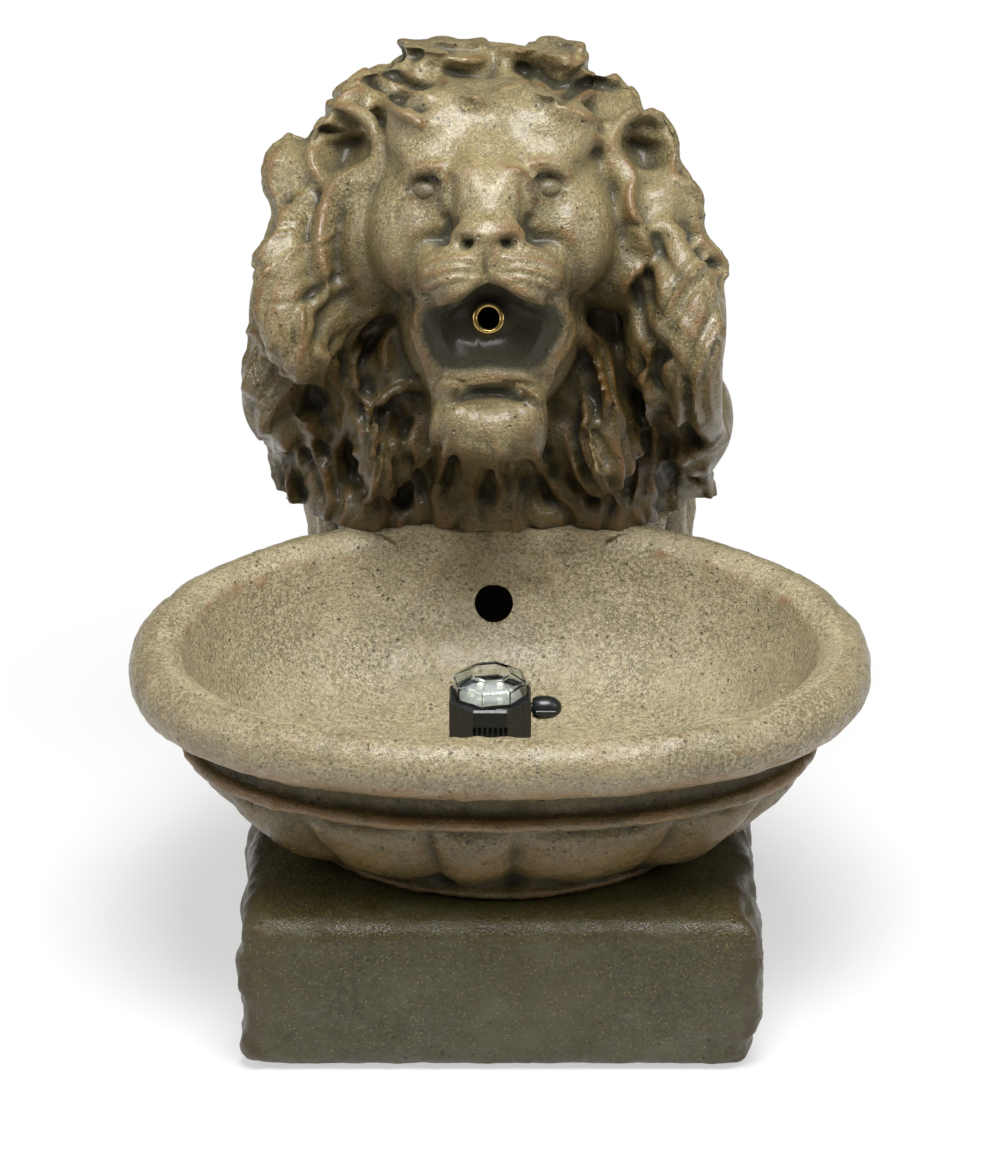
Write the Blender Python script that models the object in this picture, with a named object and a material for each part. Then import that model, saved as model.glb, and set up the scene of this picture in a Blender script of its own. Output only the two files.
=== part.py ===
"""A garden fountain: a lion's head over an oval basin on a stone block, with a small lit pump in the bowl.

Metres, +Z up, the front faces -Y. The origin is under the middle of the whole, on the ground.
"""
import math

import bmesh
import bpy
import numpy as np
from mathutils import Matrix, Vector, noise
from mathutils.bvhtree import BVHTree

# Overall size
WIDTH = 0.450
HEIGHT = 0.520
DEPTH = 0.430
GAP = 0.0003
MM = 0.001
BACK_Y = DEPTH / 2

# Basin
BOWL_FRONT = 0.160
BOWL_BACK = 0.190
BOWL_Y = BOWL_FRONT - DEPTH / 2
RIM_Z = 0.208
RIM_R = 0.018
RIM_TOP = RIM_Z + RIM_R
BOWL_FLOOR_Z = 0.128
FLOOR_R = 0.060
FOOT_R = 0.109
VALLEYS_DEG = (-65, -37, -11, 2, 32, 59, 88, 116, 145, 173, 202, 231, 259)
STEPS_PER_LOBE = 5
GADROON_DEPTH = 0.008
SHOULDER_HALF = (0.124, 0.128)
SHOULDER_Y = 0.195
SHOULDER_STEPS = 32
WALL_HOLE = Vector((-0.004, BOWL_Y + 0.143, 0.178))
WALL_HOLE_R = 0.0125
SLOT_HALF = 0.030
SLOT_FRONT_Y = BOWL_Y + 0.172
SLOT_SILL_Z = 0.152

# Base block
BASE_FRONT_Y = BOWL_Y - 0.135
BASE_HALF = 0.151
BASE_TOP = 0.1005
BASE_WALL = 0.017
BASE_CORNER = 0.014
NOTCH_HALF = 0.012
NOTCH_TOP = 0.020

# Lion's head: its own frame looks up at the viewer, with u up the face and w out of it
HEAD_AT = Vector((-0.007, BOWL_Y + 0.095, 0.4803))
HEAD_TILT = math.radians(25)
FACE_X = 0.00098
FACE_U = 0.00102
HEAD_UP = Vector((0, math.sin(HEAD_TILT), math.cos(HEAD_TILT)))
HEAD_OUT = Vector((0, -math.cos(HEAD_TILT), math.sin(HEAD_TILT)))
EYE_W = 2171.0
EYE_U = -281.0
CREST_U = 50.0
CREST_SQUEEZE = 0.8
HEAD_FRAME = Matrix.Translation(HEAD_AT) @ Matrix((
    (1, HEAD_UP.x, HEAD_OUT.x, 0), (0, HEAD_UP.y, HEAD_OUT.y, 0), (0, HEAD_UP.z, HEAD_OUT.z, 0), (0, 0, 0, 1)))
SEAT_Z = RIM_TOP + GAP
VOXEL = 0.0042
HEAD_THINNING = 0.080
POCKET_HALF = 0.034
POCKET_TOP = 0.400
POCKET_FRONT_Y = 0.112

# Spout
SPOUT_U = -0.078
SPOUT_MOUTH_W = -0.034
SPOUT_BACK_W = -0.121
SPOUT_R = 0.0092
SPOUT_BORE = 0.0065
SPOUT_TUBE_R = 0.0080
COLLAR_W = 0.004
SPOT_FACE_W = -0.112
SPOT_FACE_R = 0.016
NUT_R = 0.0125
NUT_H = 0.005
HOSE_R = 0.0105
HOSE_BORE = 0.0084
HOSE_SIDES = 10
HOSE_STEPS = 3

# Pump and light, across the flats of the eight-sided body
PUMP_X = -0.006
PUMP_Y = BOWL_Y + 0.002
PUMP_HALF = 0.025
PUMP_FOOT_H = 0.003
PUMP_BOTTOM = BOWL_FLOOR_Z + GAP + PUMP_FOOT_H + GAP
PUMP_TOP = 0.184
PUMP_FRONT = -0.015
SHAFT_Z = 0.155
LENS_HALF = 0.0215
LENS_TURN = math.radians(10)
LENS_H = 0.015
LAMPS = 6
LAMP_RING = 0.0115
LAMP_R = 0.0024
OUTLET_R = 0.0035
OUTLET_UP = 0.0118
GLAND_X = -0.005
KNOB_Y = 0.004
KNOB_Z = 0.172
KNOB_STEM_R = 0.0030
IMPELLER_BLADES = 6
INLET_PORTS = 5


def clear_scene():
    for old in list(bpy.data.objects):
        bpy.data.objects.remove(old, do_unlink=True)


def material(name, colour, roughness, metallic=0.0):
    made = bpy.data.materials.new(name)
    made.use_nodes = True
    shader = made.node_tree.nodes["Principled BSDF"]
    shader.inputs["Base Color"].default_value = (*colour, 1)
    shader.inputs["Roughness"].default_value = roughness
    shader.inputs["Metallic"].default_value = metallic
    return made


def add_object(name, bm, look, smooth_angle=40):
    bmesh.ops.recalc_face_normals(bm, faces=bm.faces)
    mesh = bpy.data.meshes.new(name)
    bm.to_mesh(mesh)
    bm.free()
    mesh.shade_smooth()
    mesh.set_sharp_from_angle(angle=math.radians(smooth_angle))
    made = bpy.data.objects.new(name, mesh)
    made.data.materials.append(look)
    bpy.context.scene.collection.objects.link(made)
    return made


def hide_cutter(cutter):
    cutter.hide_render = True
    cutter.display_type = "WIRE"
    return cutter


def cut(made, cutter, operation="DIFFERENCE"):
    step = made.modifiers.new(cutter.name, "BOOLEAN")
    step.operation = operation
    step.solver = "EXACT"
    step.object = cutter
    return made


def loft(bm, rings, start="pole", end="pole"):
    """Skins rings of points. An end is a pole of one point, a flat cap, or left open for a closed loop of rings."""
    rows = [[bm.verts.new(p) for p in ring] for ring in rings]
    pairs = list(zip(rows[:-1], rows[1:]))
    if start == "loop":
        pairs.append((rows[-1], rows[0]))
    for low, high in pairs:
        for i in range(max(len(low), len(high))):
            j = i + 1
            if len(low) == 1:
                bm.faces.new((low[0], high[i], high[j % len(high)]))
            elif len(high) == 1:
                bm.faces.new((low[i], low[j % len(low)], high[0]))
            else:
                bm.faces.new((low[i], low[j % len(low)], high[j % len(high)], high[i]))
    if start == "cap":
        bm.faces.new(rows[0])
    if end == "cap":
        bm.faces.new(rows[-1])
    return rows


def lathe(bm, profile, steps, place=Matrix()):
    """Turns (radius, height) points round the local Z axis. A radius of 0 makes a pole."""
    rings = []
    for radius, height in profile:
        if radius == 0:
            rings.append([place @ Vector((0, 0, height))])
            continue
        turn = [2 * math.pi * i / steps for i in range(steps)]
        rings.append([place @ Vector((radius * math.cos(t), radius * math.sin(t), height)) for t in turn])
    closed = profile[0][0] > 0 and profile[-1][0] > 0
    loft(bm, rings, start="loop" if closed else "pole")


def rod(radius, low, high, chamfer=0.0):
    """The outline of a plain rod, for lathe."""
    if chamfer == 0:
        return [(0, low), (radius, low), (radius, high), (0, high)]
    inner = radius - chamfer
    return [(0, low), (inner, low), (radius, low + chamfer), (radius, high - chamfer), (inner, high), (0, high)]


def washer(outer, inner, low, high):
    """The outline of a ring with a bore, for lathe."""
    return [(inner, low), (outer, low), (outer, high), (inner, high)]


def along_y(x, y, z):
    """A frame whose Z points back along the world's +Y."""
    return Matrix.Translation((x, y, z)) @ Matrix.Rotation(math.radians(-90), 4, "X")


def along_x(x, y, z):
    """A frame whose Z points along the world's +X."""
    return Matrix.Translation((x, y, z)) @ Matrix.Rotation(math.radians(90), 4, "Y")


def box(bm, low, high):
    low, high = Vector(low), Vector(high)
    place = Matrix.Translation((low + high) / 2) @ Matrix.Diagonal((*(high - low), 1))
    bmesh.ops.create_cube(bm, size=1, matrix=place)


def cutter_box(name, low, high, look):
    bm = bmesh.new()
    box(bm, low, high)
    return hide_cutter(add_object(name, bm, look))


def cutter_lathe(name, profile, steps, place, look):
    bm = bmesh.new()
    lathe(bm, profile, steps, place)
    return hide_cutter(add_object(name, bm, look))


def octagon(half, z, turn=0.0):
    """Eight corners, half being the distance to each flat."""
    reach = half / math.cos(math.pi / 8)
    angles = [math.pi / 8 + turn + math.pi / 4 * i for i in range(8)]
    return [Vector((PUMP_X + reach * math.cos(a), PUMP_Y + reach * math.sin(a), z)) for a in angles]


# Base block
def block_outline(inset, z, rough):
    """A rectangle with round corners, its left and right sides hewn by a slow noise."""
    half_x = BASE_HALF - inset
    front = BASE_FRONT_Y + inset
    back = BACK_Y - inset
    corner = max(BASE_CORNER - inset * 0.5, 0.004)
    mid_y, half_y = (front + back) / 2, (back - front) / 2
    points = []
    for quarter, (sx, sy) in enumerate(((1, -1), (1, 1), (-1, 1), (-1, -1))):
        for k in range(4):
            a = math.radians(-90 + 90 * quarter + 30 * k)
            points.append((sx * (half_x - corner) + corner * math.cos(a),
                           sy * (half_y - corner) + corner * math.sin(a)))
        side = quarter in (0, 2)
        last, steps = points[-1], (9 if side else 7)
        nxt = ((1, 1), (-1, 1), (-1, -1), (1, -1))[quarter]
        a = math.radians(90 * quarter)
        goal = (nxt[0] * (half_x - corner) + corner * math.cos(a), nxt[1] * (half_y - corner) + corner * math.sin(a))
        for k in range(1, steps):
            share = k / steps
            points.append((last[0] + (goal[0] - last[0]) * share, last[1] + (goal[1] - last[1]) * share))
    made = []
    for x, y in points:
        on_side = min(1.0, max(0.0, (abs(x) - half_x * 0.90) / (half_x * 0.10)))
        chip = noise.noise(Vector((x * 30, y * 42, z * 55))) * rough * on_side
        made.append(Vector((x + math.copysign(chip, x), mid_y + y, z)))
    return made


def make_base_block(look):
    """A hewn block, hollow below and open underneath, with a notch behind for a lead."""
    inner_top = BASE_TOP - 0.016
    rows = [(BASE_WALL + 0.016, inner_top, 0), (BASE_WALL + 0.003, inner_top - 0.004, 0), (BASE_WALL, 0.0, 0),
            (0.0015, 0.0, 0.002), (0.0, 0.003, 0.004)]
    swell = [(0.012, 0.35), (0.030, 0.75), (0.052, 1.0), (0.072, 0.8), (0.088, 0.3)]
    rows += [(-0.005 * share, z, 0.008) for z, share in swell]
    rows += [(0.002, BASE_TOP - 0.006, 0.006), (0.008, BASE_TOP - 0.0015, 0.003), (0.018, BASE_TOP, 0)]
    bm = bmesh.new()
    mid_y = (BASE_FRONT_Y + BACK_Y) / 2
    rings = [[Vector((0, mid_y, inner_top))]]
    for inset, z, rough in rows:
        ring = block_outline(inset, z, rough)
        for p in ring:
            p.y = min(p.y, BACK_Y)
            p.y = max(p.y, BASE_FRONT_Y - 0.004)
        rings.append(ring)
    rings.append([Vector((0, mid_y, BASE_TOP))])
    loft(bm, rings)
    block = add_object("base_block", bm, look)
    notch = cutter_box("notch_cutter", (-NOTCH_HALF, BACK_Y - 0.04, -0.01),
                       (NOTCH_HALF, BACK_Y + 0.02, NOTCH_TOP), look)
    return cut(block, notch)


# Basin
def lobe_angles():
    """Angles round the bowl, each with its place across a lobe, from one valley (0) to the next (1)."""
    made = []
    for first, last in zip(VALLEYS_DEG, VALLEYS_DEG[1:] + (VALLEYS_DEG[0] + 360,)):
        for k in range(STEPS_PER_LOBE):
            share = k / STEPS_PER_LOBE
            made.append((math.radians(first + (last - first) * share - 90), share))
    return made


def rim_point(inset, angle, z, narrow=0.0):
    """A point of the bowl's plan, a fuller curve in front than behind, drawn in across by narrow."""
    reach = BOWL_BACK if math.sin(angle) > 0 else BOWL_FRONT
    power = 1.0 if math.sin(angle) > 0 else 0.88
    c, s = math.cos(angle), math.sin(angle)
    x = math.copysign(abs(c) ** power, c) * (WIDTH / 2 - inset - narrow)
    y = math.copysign(abs(s) ** power, s) * (reach - inset)
    return Vector((x, BOWL_Y + y, z))


def bowl_ring(inset, z, lobed=0.0, narrow=0.0):
    ring = []
    for angle, share in lobe_angles():
        dip = lobed * GADROON_DEPTH * (1 - math.sin(math.pi * share) ** 0.6)
        ring.append(rim_point(inset + dip, angle, z, narrow))
    return ring


def blend_ring(inset, z, round_share, radius):
    """Between the oval plan and the round foot."""
    made = []
    for angle, share in lobe_angles():
        p = rim_point(inset, angle, z)
        q = Vector((radius * 1.15 * math.cos(angle), BOWL_Y + radius * math.sin(angle), z))
        made.append(p.lerp(q, round_share))
    return made


def basin_rings():
    """From the middle of the bowl's floor, over the rim and down to the foot."""
    rings = [[Vector((0, BOWL_Y, BOWL_FLOOR_Z))]]
    rings.append(blend_ring(0.1, BOWL_FLOOR_Z, 1.0, FLOOR_R))
    inside = [(0.095, BOWL_FLOOR_Z + 0.004), (0.074, BOWL_FLOOR_Z + 0.014), (0.058, BOWL_FLOOR_Z + 0.030),
              (0.046, BOWL_FLOOR_Z + 0.050), (0.039, RIM_Z - 0.012)]
    rings += [bowl_ring(inset, z) for inset, z in inside]
    for degrees in range(150, -61, -30):
        a = math.radians(degrees)
        rings.append(bowl_ring(RIM_R - RIM_R * math.cos(a), RIM_Z + RIM_R * math.sin(a)))
    cove = [(0.030, RIM_Z - 0.024), (0.035, RIM_Z - 0.037)]
    bead = [(0.031, RIM_Z - 0.042), (0.0295, RIM_Z - 0.046), (0.031, RIM_Z - 0.050)]
    rings += [bowl_ring(inset, z) for inset, z in cove + bead]
    lobes = [(0.033, RIM_Z - 0.054, 0.4, 0.003), (0.036, RIM_Z - 0.070, 1.0, 0.009),
             (0.043, RIM_Z - 0.086, 1.0, 0.019), (0.055, RIM_Z - 0.097, 0.9, 0.016)]
    rings += [bowl_ring(*row) for row in lobes]
    rings.append(blend_ring(0.1, BASE_TOP + 0.0072, 1.0, FOOT_R - 0.005))
    rings.append(blend_ring(0.1, BASE_TOP + 0.0050, 1.0, FOOT_R))
    rings.append(blend_ring(0.1, BASE_TOP + GAP, 1.0, FOOT_R))
    rings.append([Vector((0, BOWL_Y, BASE_TOP + GAP))])
    return rings


def shoulder_block():
    """The round-fronted block under the head, from the base up to the rim's top."""
    half_x, half_y = SHOULDER_HALF
    ring = []
    for i in range(SHOULDER_STEPS + 1):
        angle = math.pi * (1 + i / SHOULDER_STEPS)
        ring.append((half_x * math.cos(angle), SHOULDER_Y + half_y * math.sin(angle)))
    ring = [(ring[0][0], BACK_Y)] + ring + [(ring[-1][0], BACK_Y)]
    bm = bmesh.new()
    heights = (BASE_TOP + GAP, RIM_TOP - 0.0002)
    loft(bm, [[Vector((x, y, z)) for x, y in ring] for z in heights], start="cap", end="cap")
    return bm


def make_basin(look):
    bm = bmesh.new()
    loft(bm, basin_rings())
    basin = add_object("basin", bm, look)
    shoulder = hide_cutter(add_object("shoulder_solid", shoulder_block(), look))
    bm = bmesh.new()
    loft(bm, [bowl_ring(0.030, RIM_TOP + 0.05), bowl_ring(0.030, RIM_Z + 0.012), bowl_ring(0.0345, RIM_Z - 0.012),
              bowl_ring(0.041, BOWL_FLOOR_Z + 0.050), bowl_ring(0.052, BOWL_FLOOR_Z + 0.030),
              bowl_ring(0.068, BOWL_FLOOR_Z + 0.014)], start="cap", end="cap")
    keep_open = hide_cutter(add_object("bowl_space", bm, look))
    cut(shoulder, keep_open)
    cut(basin, shoulder, "UNION")
    down_back = Matrix.Translation(WALL_HOLE) @ Matrix.Rotation(-math.pi / 2 - HEAD_TILT, 4, "X")
    hole = cutter_lathe("wall_hole_cutter", rod(WALL_HOLE_R, -0.04, 0.06), 20, down_back, look)
    cut(basin, hole)
    slot = cutter_box("slot_cutter", (-SLOT_HALF, SLOT_FRONT_Y, SLOT_SILL_Z),
                      (SLOT_HALF, BACK_Y + 0.05, RIM_TOP + 0.05), look)
    cut(basin, slot)
    pit = cutter_box("pit_cutter", (-SLOT_HALF + 0.003, SLOT_FRONT_Y + 0.003, BASE_TOP + 0.014),
                     (SLOT_HALF - 0.003, BACK_Y - 0.014, SLOT_SILL_Z + 0.01), look)
    return cut(basin, pit)


# Lion's head
def head_point(x, u, w):
    """Millimetres across the face, up it and out of it, as seen from the front, to world metres.

    Above the brow the height is squeezed, so that the crest stays under the top.
    """
    spread = (EYE_W - w) / EYE_W
    u = min(u, CREST_U) + max(u - CREST_U, 0) * CREST_SQUEEZE
    return HEAD_FRAME @ Vector((x * spread * FACE_X, ((u - EYE_U) * spread + EYE_U) * FACE_U, w * MM))


# Each mass: middle (x, u, w), half sizes, in millimetres
SKULL = ((0, -12, -95), (78, 74, 93))
JAW = ((2, -74, -85), (70, 72, 74))
MANE_TOP = ((-2, 14, -152), (104, 74, 54))
MANE_MIDDLE = ((-1, -82, -172), (147, 102, 80))
MANE_LOWER = ((1, -161, -215), (136, 68, 70))
CHIN = ((2, -138, -45), (31, 23, 30))
BEARD = ((4, -188, -196), (60, 34, 42))

# Behind the mane: middle across and up, and half sizes, metres
BACK_MASSES = ((-0.042, 0.446, 0.060, 0.084, 0.0739), (0.034, 0.446, 0.060, 0.084, 0.0739),
               (-0.009, 0.408, 0.126, 0.090, 0.098), (-0.007, 0.330, 0.142, 0.098, 0.115),
               (-0.007, 0.270, 0.138, 0.105, 0.090), (-0.006, 0.236, 0.120, 0.125, 0.050),
               (-0.080, 0.234, 0.070, 0.122, 0.050), (0.070, 0.234, 0.070, 0.122, 0.050))

# What stands on the masses: middle (x, u), lift of the middle over the surface, half sizes, millimetres
FACE_LUMPS = [
    ((-23, -54), 2, (24, 20, 24)), ((24, -54), 2, (25, 20, 24)), ((0, -30), 14, (19, 13, 15)),
    ((0, -45), 4, (12, 16, 22)), ((-38, -1), -4, (11, 9, 9)), ((36, 1), -4, (11, 9, 9)),
    ((-22, -2), 1, (9, 14, 9)), ((21, -2), 1, (9, 14, 9)), ((-50, -40), -4, (20, 26, 14)),
    ((54, -40), -4, (20, 26, 14)), ((-118, -2), 2, (19, 26, 34)), ((-76, 48), 0, (20, 15, 26)),
    ((-24, 72), -4, (28, 10, 18)), ((42, 70), -4, (20, 11, 18)), ((100, -10), 0, (26, 24, 24)),
]

# Each lock: points (x, u, lift over the surface, radius), millimetres
LOCKS = [
    [(0, 24, -2, 13), (0, 6, 1, 12), (0, -10, 5, 12), (0, -28, 9, 14)],
    [(-54, 0, 2, 4), (-45, 12, 4, 6), (-33, 15, 4, 6), (-24, 11, 3, 5)],
    [(52, 2, 2, 4), (44, 11, 4, 6), (33, 15, 4, 6), (23, 11, 3, 5)],
    [(-54, 78, 3, 6), (-43, 80, 4, 6), (-25, 73, 6, 6), (-8, 72, 6, 6), (6, 75, 4, 6)],
    [(0, 76, 4, 6), (18, 77, 5, 6), (32, 80, 3, 6), (46, 80, 1, 6), (56, 78, 1, 6), (59, 74, 2, 5)],
    [(38, 76, 6, 8), (54, 71, 6, 8), (62, 62, 6, 7), (76, 60, 4, 5)],
    [(5, 50, 4, 4), (20, 57, 8, 7), (34, 52, 8, 7), (46, 44, 4, 5)],
    [(50, 44, 4, 5), (66, 51, 7, 7), (80, 55, 7, 8), (93, 47, 4, 5)],
    [(-30, 62, 4, 4), (-20, 54, 8, 7), (-8, 49, 8, 7), (-1, 42, 4, 5)],
    [(-75, 42, 4, 5), (-60, 44, 6, 7), (-48, 38, 5, 6), (-40, 34, 2, 4)],
    [(-96, 40, 4, 6), (-86, 50, 6, 9), (-72, 60, 6, 10), (-56, 63, 6, 9)],
    [(-72, 8, 3, 4), (-90, 0, 6, 7), (-99, -14, 7, 8), (-103, -34, 6, 8), (-99, -68, 3, 5)],
    [(66, 23, 3, 4), (78, 17, 6, 7), (88, 2, 7, 8), (88, -20, 6, 8), (96, -42, 5, 7), (84, -72, 2, 5)],
    [(-108, -5, 4, 8), (-124, -45, 8, 20), (-126, -82, 10, 24), (-110, -108, 10, 18), (-95, -130, 6, 8)],
    [(102, -12, 2, 9), (118, -52, 6, 22), (122, -92, 8, 26), (122, -126, 8, 19), (129, -154, 6, 9)],
    [(-140, -92, -3, 9), (-143, -112, -3, 11), (-137, -135, -3, 11), (-132, -158, -2, 11), (-124, -182, 0, 9)],
    [(-112, -128, 2, 10), (-112, -150, 4, 14), (-106, -178, 4, 12), (-104, -196, 2, 9)],
    [(-48, -120, 2, 5), (-62, -123, 6, 7), (-73, -137, 7, 7), (-70, -160, 5, 7), (-66, -178, 4, 7), (-77, -192, 2, 5)],
    [(-30, -120, 0, 6), (-31, -148, 3, 7), (-33, -172, 3, 7), (-38, -196, 2, 6)],
    [(-78, -84, 1, 6), (-86, -104, 3, 9), (-84, -128, 3, 8), (-92, -150, 2, 6)],
    [(52, -92, 0, 7), (68, -112, 5, 11), (74, -138, 4, 9), (88, -160, 4, 10), (86, -192, 2, 9)],
    [(58, -138, 2, 5), (64, -158, 5, 7), (72, -178, 4, 7), (80, -194, 2, 6)],
    [(30, -165, 2, 6), (42, -180, 4, 7), (49, -196, 2, 6)],
    [(98, -168, 2, 5), (114, -166, 4, 7), (130, -162, 2, 6)],
    [(138, -48, -5, 10), (139, -90, -5, 11), (135, -128, -4, 10), (129, -158, -2, 9), (120, -196, 0, 8)],
]
EARS = [(-88, 18, 25, 27), (95, 17, 23, 27)]
MOUTH = [(0, -57), (22, -69), (36, -75), (46, -84), (42, -98), (31, -111), (14, -110), (-14, -110), (-31, -111),
         (-38, -96), (-42, -83), (-36, -75), (-19, -67)]


def smooth_path(points, steps=4):
    """A curve through the points, each a tuple of any length."""
    rows = [np.array(p, float) for p in points]
    rows = [2 * rows[0] - rows[1]] + rows + [2 * rows[-1] - rows[-2]]
    made = []
    for a, b, c, d in zip(rows, rows[1:], rows[2:], rows[3:]):
        for k in range(steps):
            t = k / steps
            made.append(0.5 * (2 * b + (c - a) * t + (2 * a - 5 * b + 4 * c - d) * t * t
                               + (3 * b - a - 3 * c + d) * t ** 3))
    made.append(rows[-2])
    return made


def tapered_tube(bm, path, radii, sides):
    """Rings square to the path, closed by a point at each end."""
    rings = []
    for i, p in enumerate(path):
        ahead = (path[min(i + 1, len(path) - 1)] - path[max(i - 1, 0)]).normalized()
        side = ahead.cross(HEAD_OUT).normalized()
        up = side.cross(ahead)
        turn = [2 * math.pi * k / sides for k in range(sides)]
        rings.append([p + side * (radii[i] * math.cos(t)) + up * (radii[i] * math.sin(t)) for t in turn])
    first, last = path[0] - path[1], path[-1] - path[-2]
    rings.insert(0, [path[0] + first.normalized() * radii[0] * 0.8])
    rings.append([path[-1] + last.normalized() * radii[-1] * 0.8])
    loft(bm, rings)


def ellipsoid(bm, middle, half):
    """Middle and half sizes in the face's own millimetres."""
    place = Matrix.Translation(middle) @ Matrix.Diagonal((*half, 1))
    made = bmesh.ops.create_icosphere(bm, subdivisions=3, radius=1, matrix=place)
    for v in made["verts"]:
        v.co = head_point(*v.co)


def surface_finder(bm):
    """Gives how far out the carved masses reach at a place on the face."""
    tree = BVHTree.FromBMesh(bm)

    def find(x, u):
        spot = None
        while spot is None:
            start = head_point(x, u, 200)
            spot = tree.ray_cast(start, head_point(x, u, -300) - start)[0]
            x, u = x * 0.97, -60 + (u + 60) * 0.97
        return (spot - HEAD_AT).dot(HEAD_OUT) / MM
    return find


def head_masses():
    bm = bmesh.new()
    for middle, half in (SKULL, JAW, MANE_TOP, MANE_MIDDLE, MANE_LOWER, CHIN, BEARD):
        ellipsoid(bm, middle, half)
    return bm


def add_back(bm):
    """The thick upright mass behind the mane, and the broad foot that it stands on."""
    for x, height, half_x, half_y, half_z in BACK_MASSES:
        place = Matrix.Translation((x, BACK_Y, height)) @ Matrix.Diagonal((half_x, half_y, half_z, 1))
        bmesh.ops.create_icosphere(bm, subdivisions=3, radius=1, matrix=place)


def add_ear(bm, find, x, u, half_x, half_u):
    """A cup: a ring of lobes round a hollow."""
    out = find(x * 0.9, u)
    path, radii = [], []
    for degrees in range(-50, 236, 22):
        a = math.radians(degrees)
        side = math.copysign(1, x)
        path.append(head_point(x + side * half_x * 0.80 * math.cos(a), u + half_u * 0.78 * math.sin(a),
                               out + 16 - 8 * math.cos(a)))
        radii.append(6.5 * MM)
    tapered_tube(bm, path, radii, 8)
    ellipsoid(bm, (x, u, out - 8), (half_x * 0.86, half_u * 0.86, 20))


def make_head(look):
    bm = head_masses()
    find = surface_finder(bm)
    add_back(bm)
    for (x, u), lift, half in FACE_LUMPS:
        ellipsoid(bm, (x, u, find(x, u) + lift), half)
    for points in LOCKS:
        path, radii = [], []
        for x, u, lift, radius in smooth_path([(x, u, find(x, u) + lift, r) for x, u, lift, r in points], 3):
            path.append(head_point(x, u, lift))
            radii.append(radius * MM)
        tapered_tube(bm, path, radii, 8)
    for x, u, half_x, half_u in EARS:
        add_ear(bm, find, x, u, half_x, half_u)
    head = add_object("lion_head", bm, look, 60)
    remesh = head.modifiers.new("one_skin", "REMESH")
    remesh.mode = "VOXEL"
    remesh.voxel_size = VOXEL
    soften = head.modifiers.new("soften", "SMOOTH")
    soften.iterations = 2
    soften.factor = 0.4
    return head


def mouth_cutter(look):
    """The open mouth, narrowing inwards."""
    bm = bmesh.new()
    rings = []
    for w, share in ((60, 1.0), (0, 0.97), (SPOUT_MOUTH_W / MM - COLLAR_W / MM + 1.5, 0.86)):
        rings.append([head_point(x * share, -88 + (u + 88) * share, w) for x, u in MOUTH])
    loft(bm, rings, start="cap", end="cap")
    return hide_cutter(add_object("mouth_cutter", bm, look))


def finish_head(head, look):
    """Thins the faces, then cuts the back, the seat, the mouth, the spout's bore and the pocket behind."""
    thin = head.modifiers.new("fewer_faces", "DECIMATE")
    thin.ratio = HEAD_THINNING
    block = cutter_box("head_space", (-0.25, -0.2, SEAT_Z), (0.25, BACK_Y, HEIGHT), look)
    cut(head, block, "INTERSECT")
    cut(head, mouth_cutter(look))
    place = HEAD_FRAME @ Matrix.Translation((0, SPOUT_U, 0))
    bore = cutter_lathe("spout_bore", rod(SPOUT_TUBE_R + GAP, -0.20, 0.0), 20, place, look)
    cut(head, bore)
    face = cutter_lathe("spot_face", rod(SPOT_FACE_R, -0.25, SPOT_FACE_W), 20, place, look)
    cut(head, face)
    pocket = cutter_box("pocket_cutter", (HEAD_AT.x - POCKET_HALF, POCKET_FRONT_Y, SEAT_Z - 0.02),
                        (HEAD_AT.x + POCKET_HALF, BACK_Y + 0.02, POCKET_TOP), look)
    return cut(head, pocket)


# Spout and hose
def head_axis(x, u):
    return HEAD_FRAME @ Matrix.Translation((x * MM, u, 0))


def make_spout(brass, rubber):
    """A brass ring and tube along the mouth's own axis, a seal under the ring and a nut behind the stone."""
    place = head_axis(0, SPOUT_U)
    seat = SPOUT_MOUTH_W - COLLAR_W + 0.0015
    bm = bmesh.new()
    tail = SPOUT_BACK_W - 0.012
    outline = [(SPOUT_BORE, tail), (SPOUT_TUBE_R - 0.0015, tail), (SPOUT_TUBE_R - 0.0003, tail + 0.003),
               (SPOUT_TUBE_R - 0.0008, SPOUT_BACK_W), (SPOUT_TUBE_R, SPOUT_BACK_W + 0.001),
               (SPOUT_TUBE_R, seat + 0.0018), (SPOUT_R, seat + 0.0018), (SPOUT_R, seat + 0.0055),
               (SPOUT_R - 0.0012, seat + 0.0068), (SPOUT_BORE + 0.0006, seat + 0.0068), (SPOUT_BORE, seat + 0.0058)]
    lathe(bm, outline, 20, place)
    add_object("spout_tube", bm, brass)
    bm = bmesh.new()
    lathe(bm, washer(SPOUT_R + 0.0008, SPOUT_TUBE_R + GAP, seat + GAP, seat + 0.0018 - GAP), 20, place)
    add_object("spout_grommet", bm, rubber)
    bm = bmesh.new()
    front = SPOT_FACE_W - GAP
    lathe(bm, rod(NUT_R, front - NUT_H, front), 6, place)
    nut = add_object("spout_nut", bm, brass, 20)
    through = rod(SPOUT_TUBE_R + GAP, front - NUT_H - 0.002, front + 0.002)
    cut(nut, cutter_lathe("nut_bore", through, 20, place, brass))


def hose_path():
    """From the spout's tail down the pocket to just behind the bowl's wall hole."""
    top = SPOUT_BACK_W - 0.0015
    start = HEAD_FRAME @ Vector((0, SPOUT_U, top))
    straight = HEAD_FRAME @ Vector((0, SPOUT_U, top - 0.012))
    back = HEAD_FRAME @ Vector((0, SPOUT_U, top - 0.024))
    x = WALL_HOLE.x
    middle = Vector(((start.x + x) / 2, BACK_Y - 0.041, 0.305))
    low = Vector((x, BACK_Y - 0.035, 0.250))
    turn = Vector((x, BACK_Y - 0.039, 0.205))
    end = Vector((x, BACK_Y - 0.055, WALL_HOLE.z - 0.006))
    return [Vector(p) for p in smooth_path([start, straight, back, middle, low, turn, end], HOSE_STEPS)]


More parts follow.
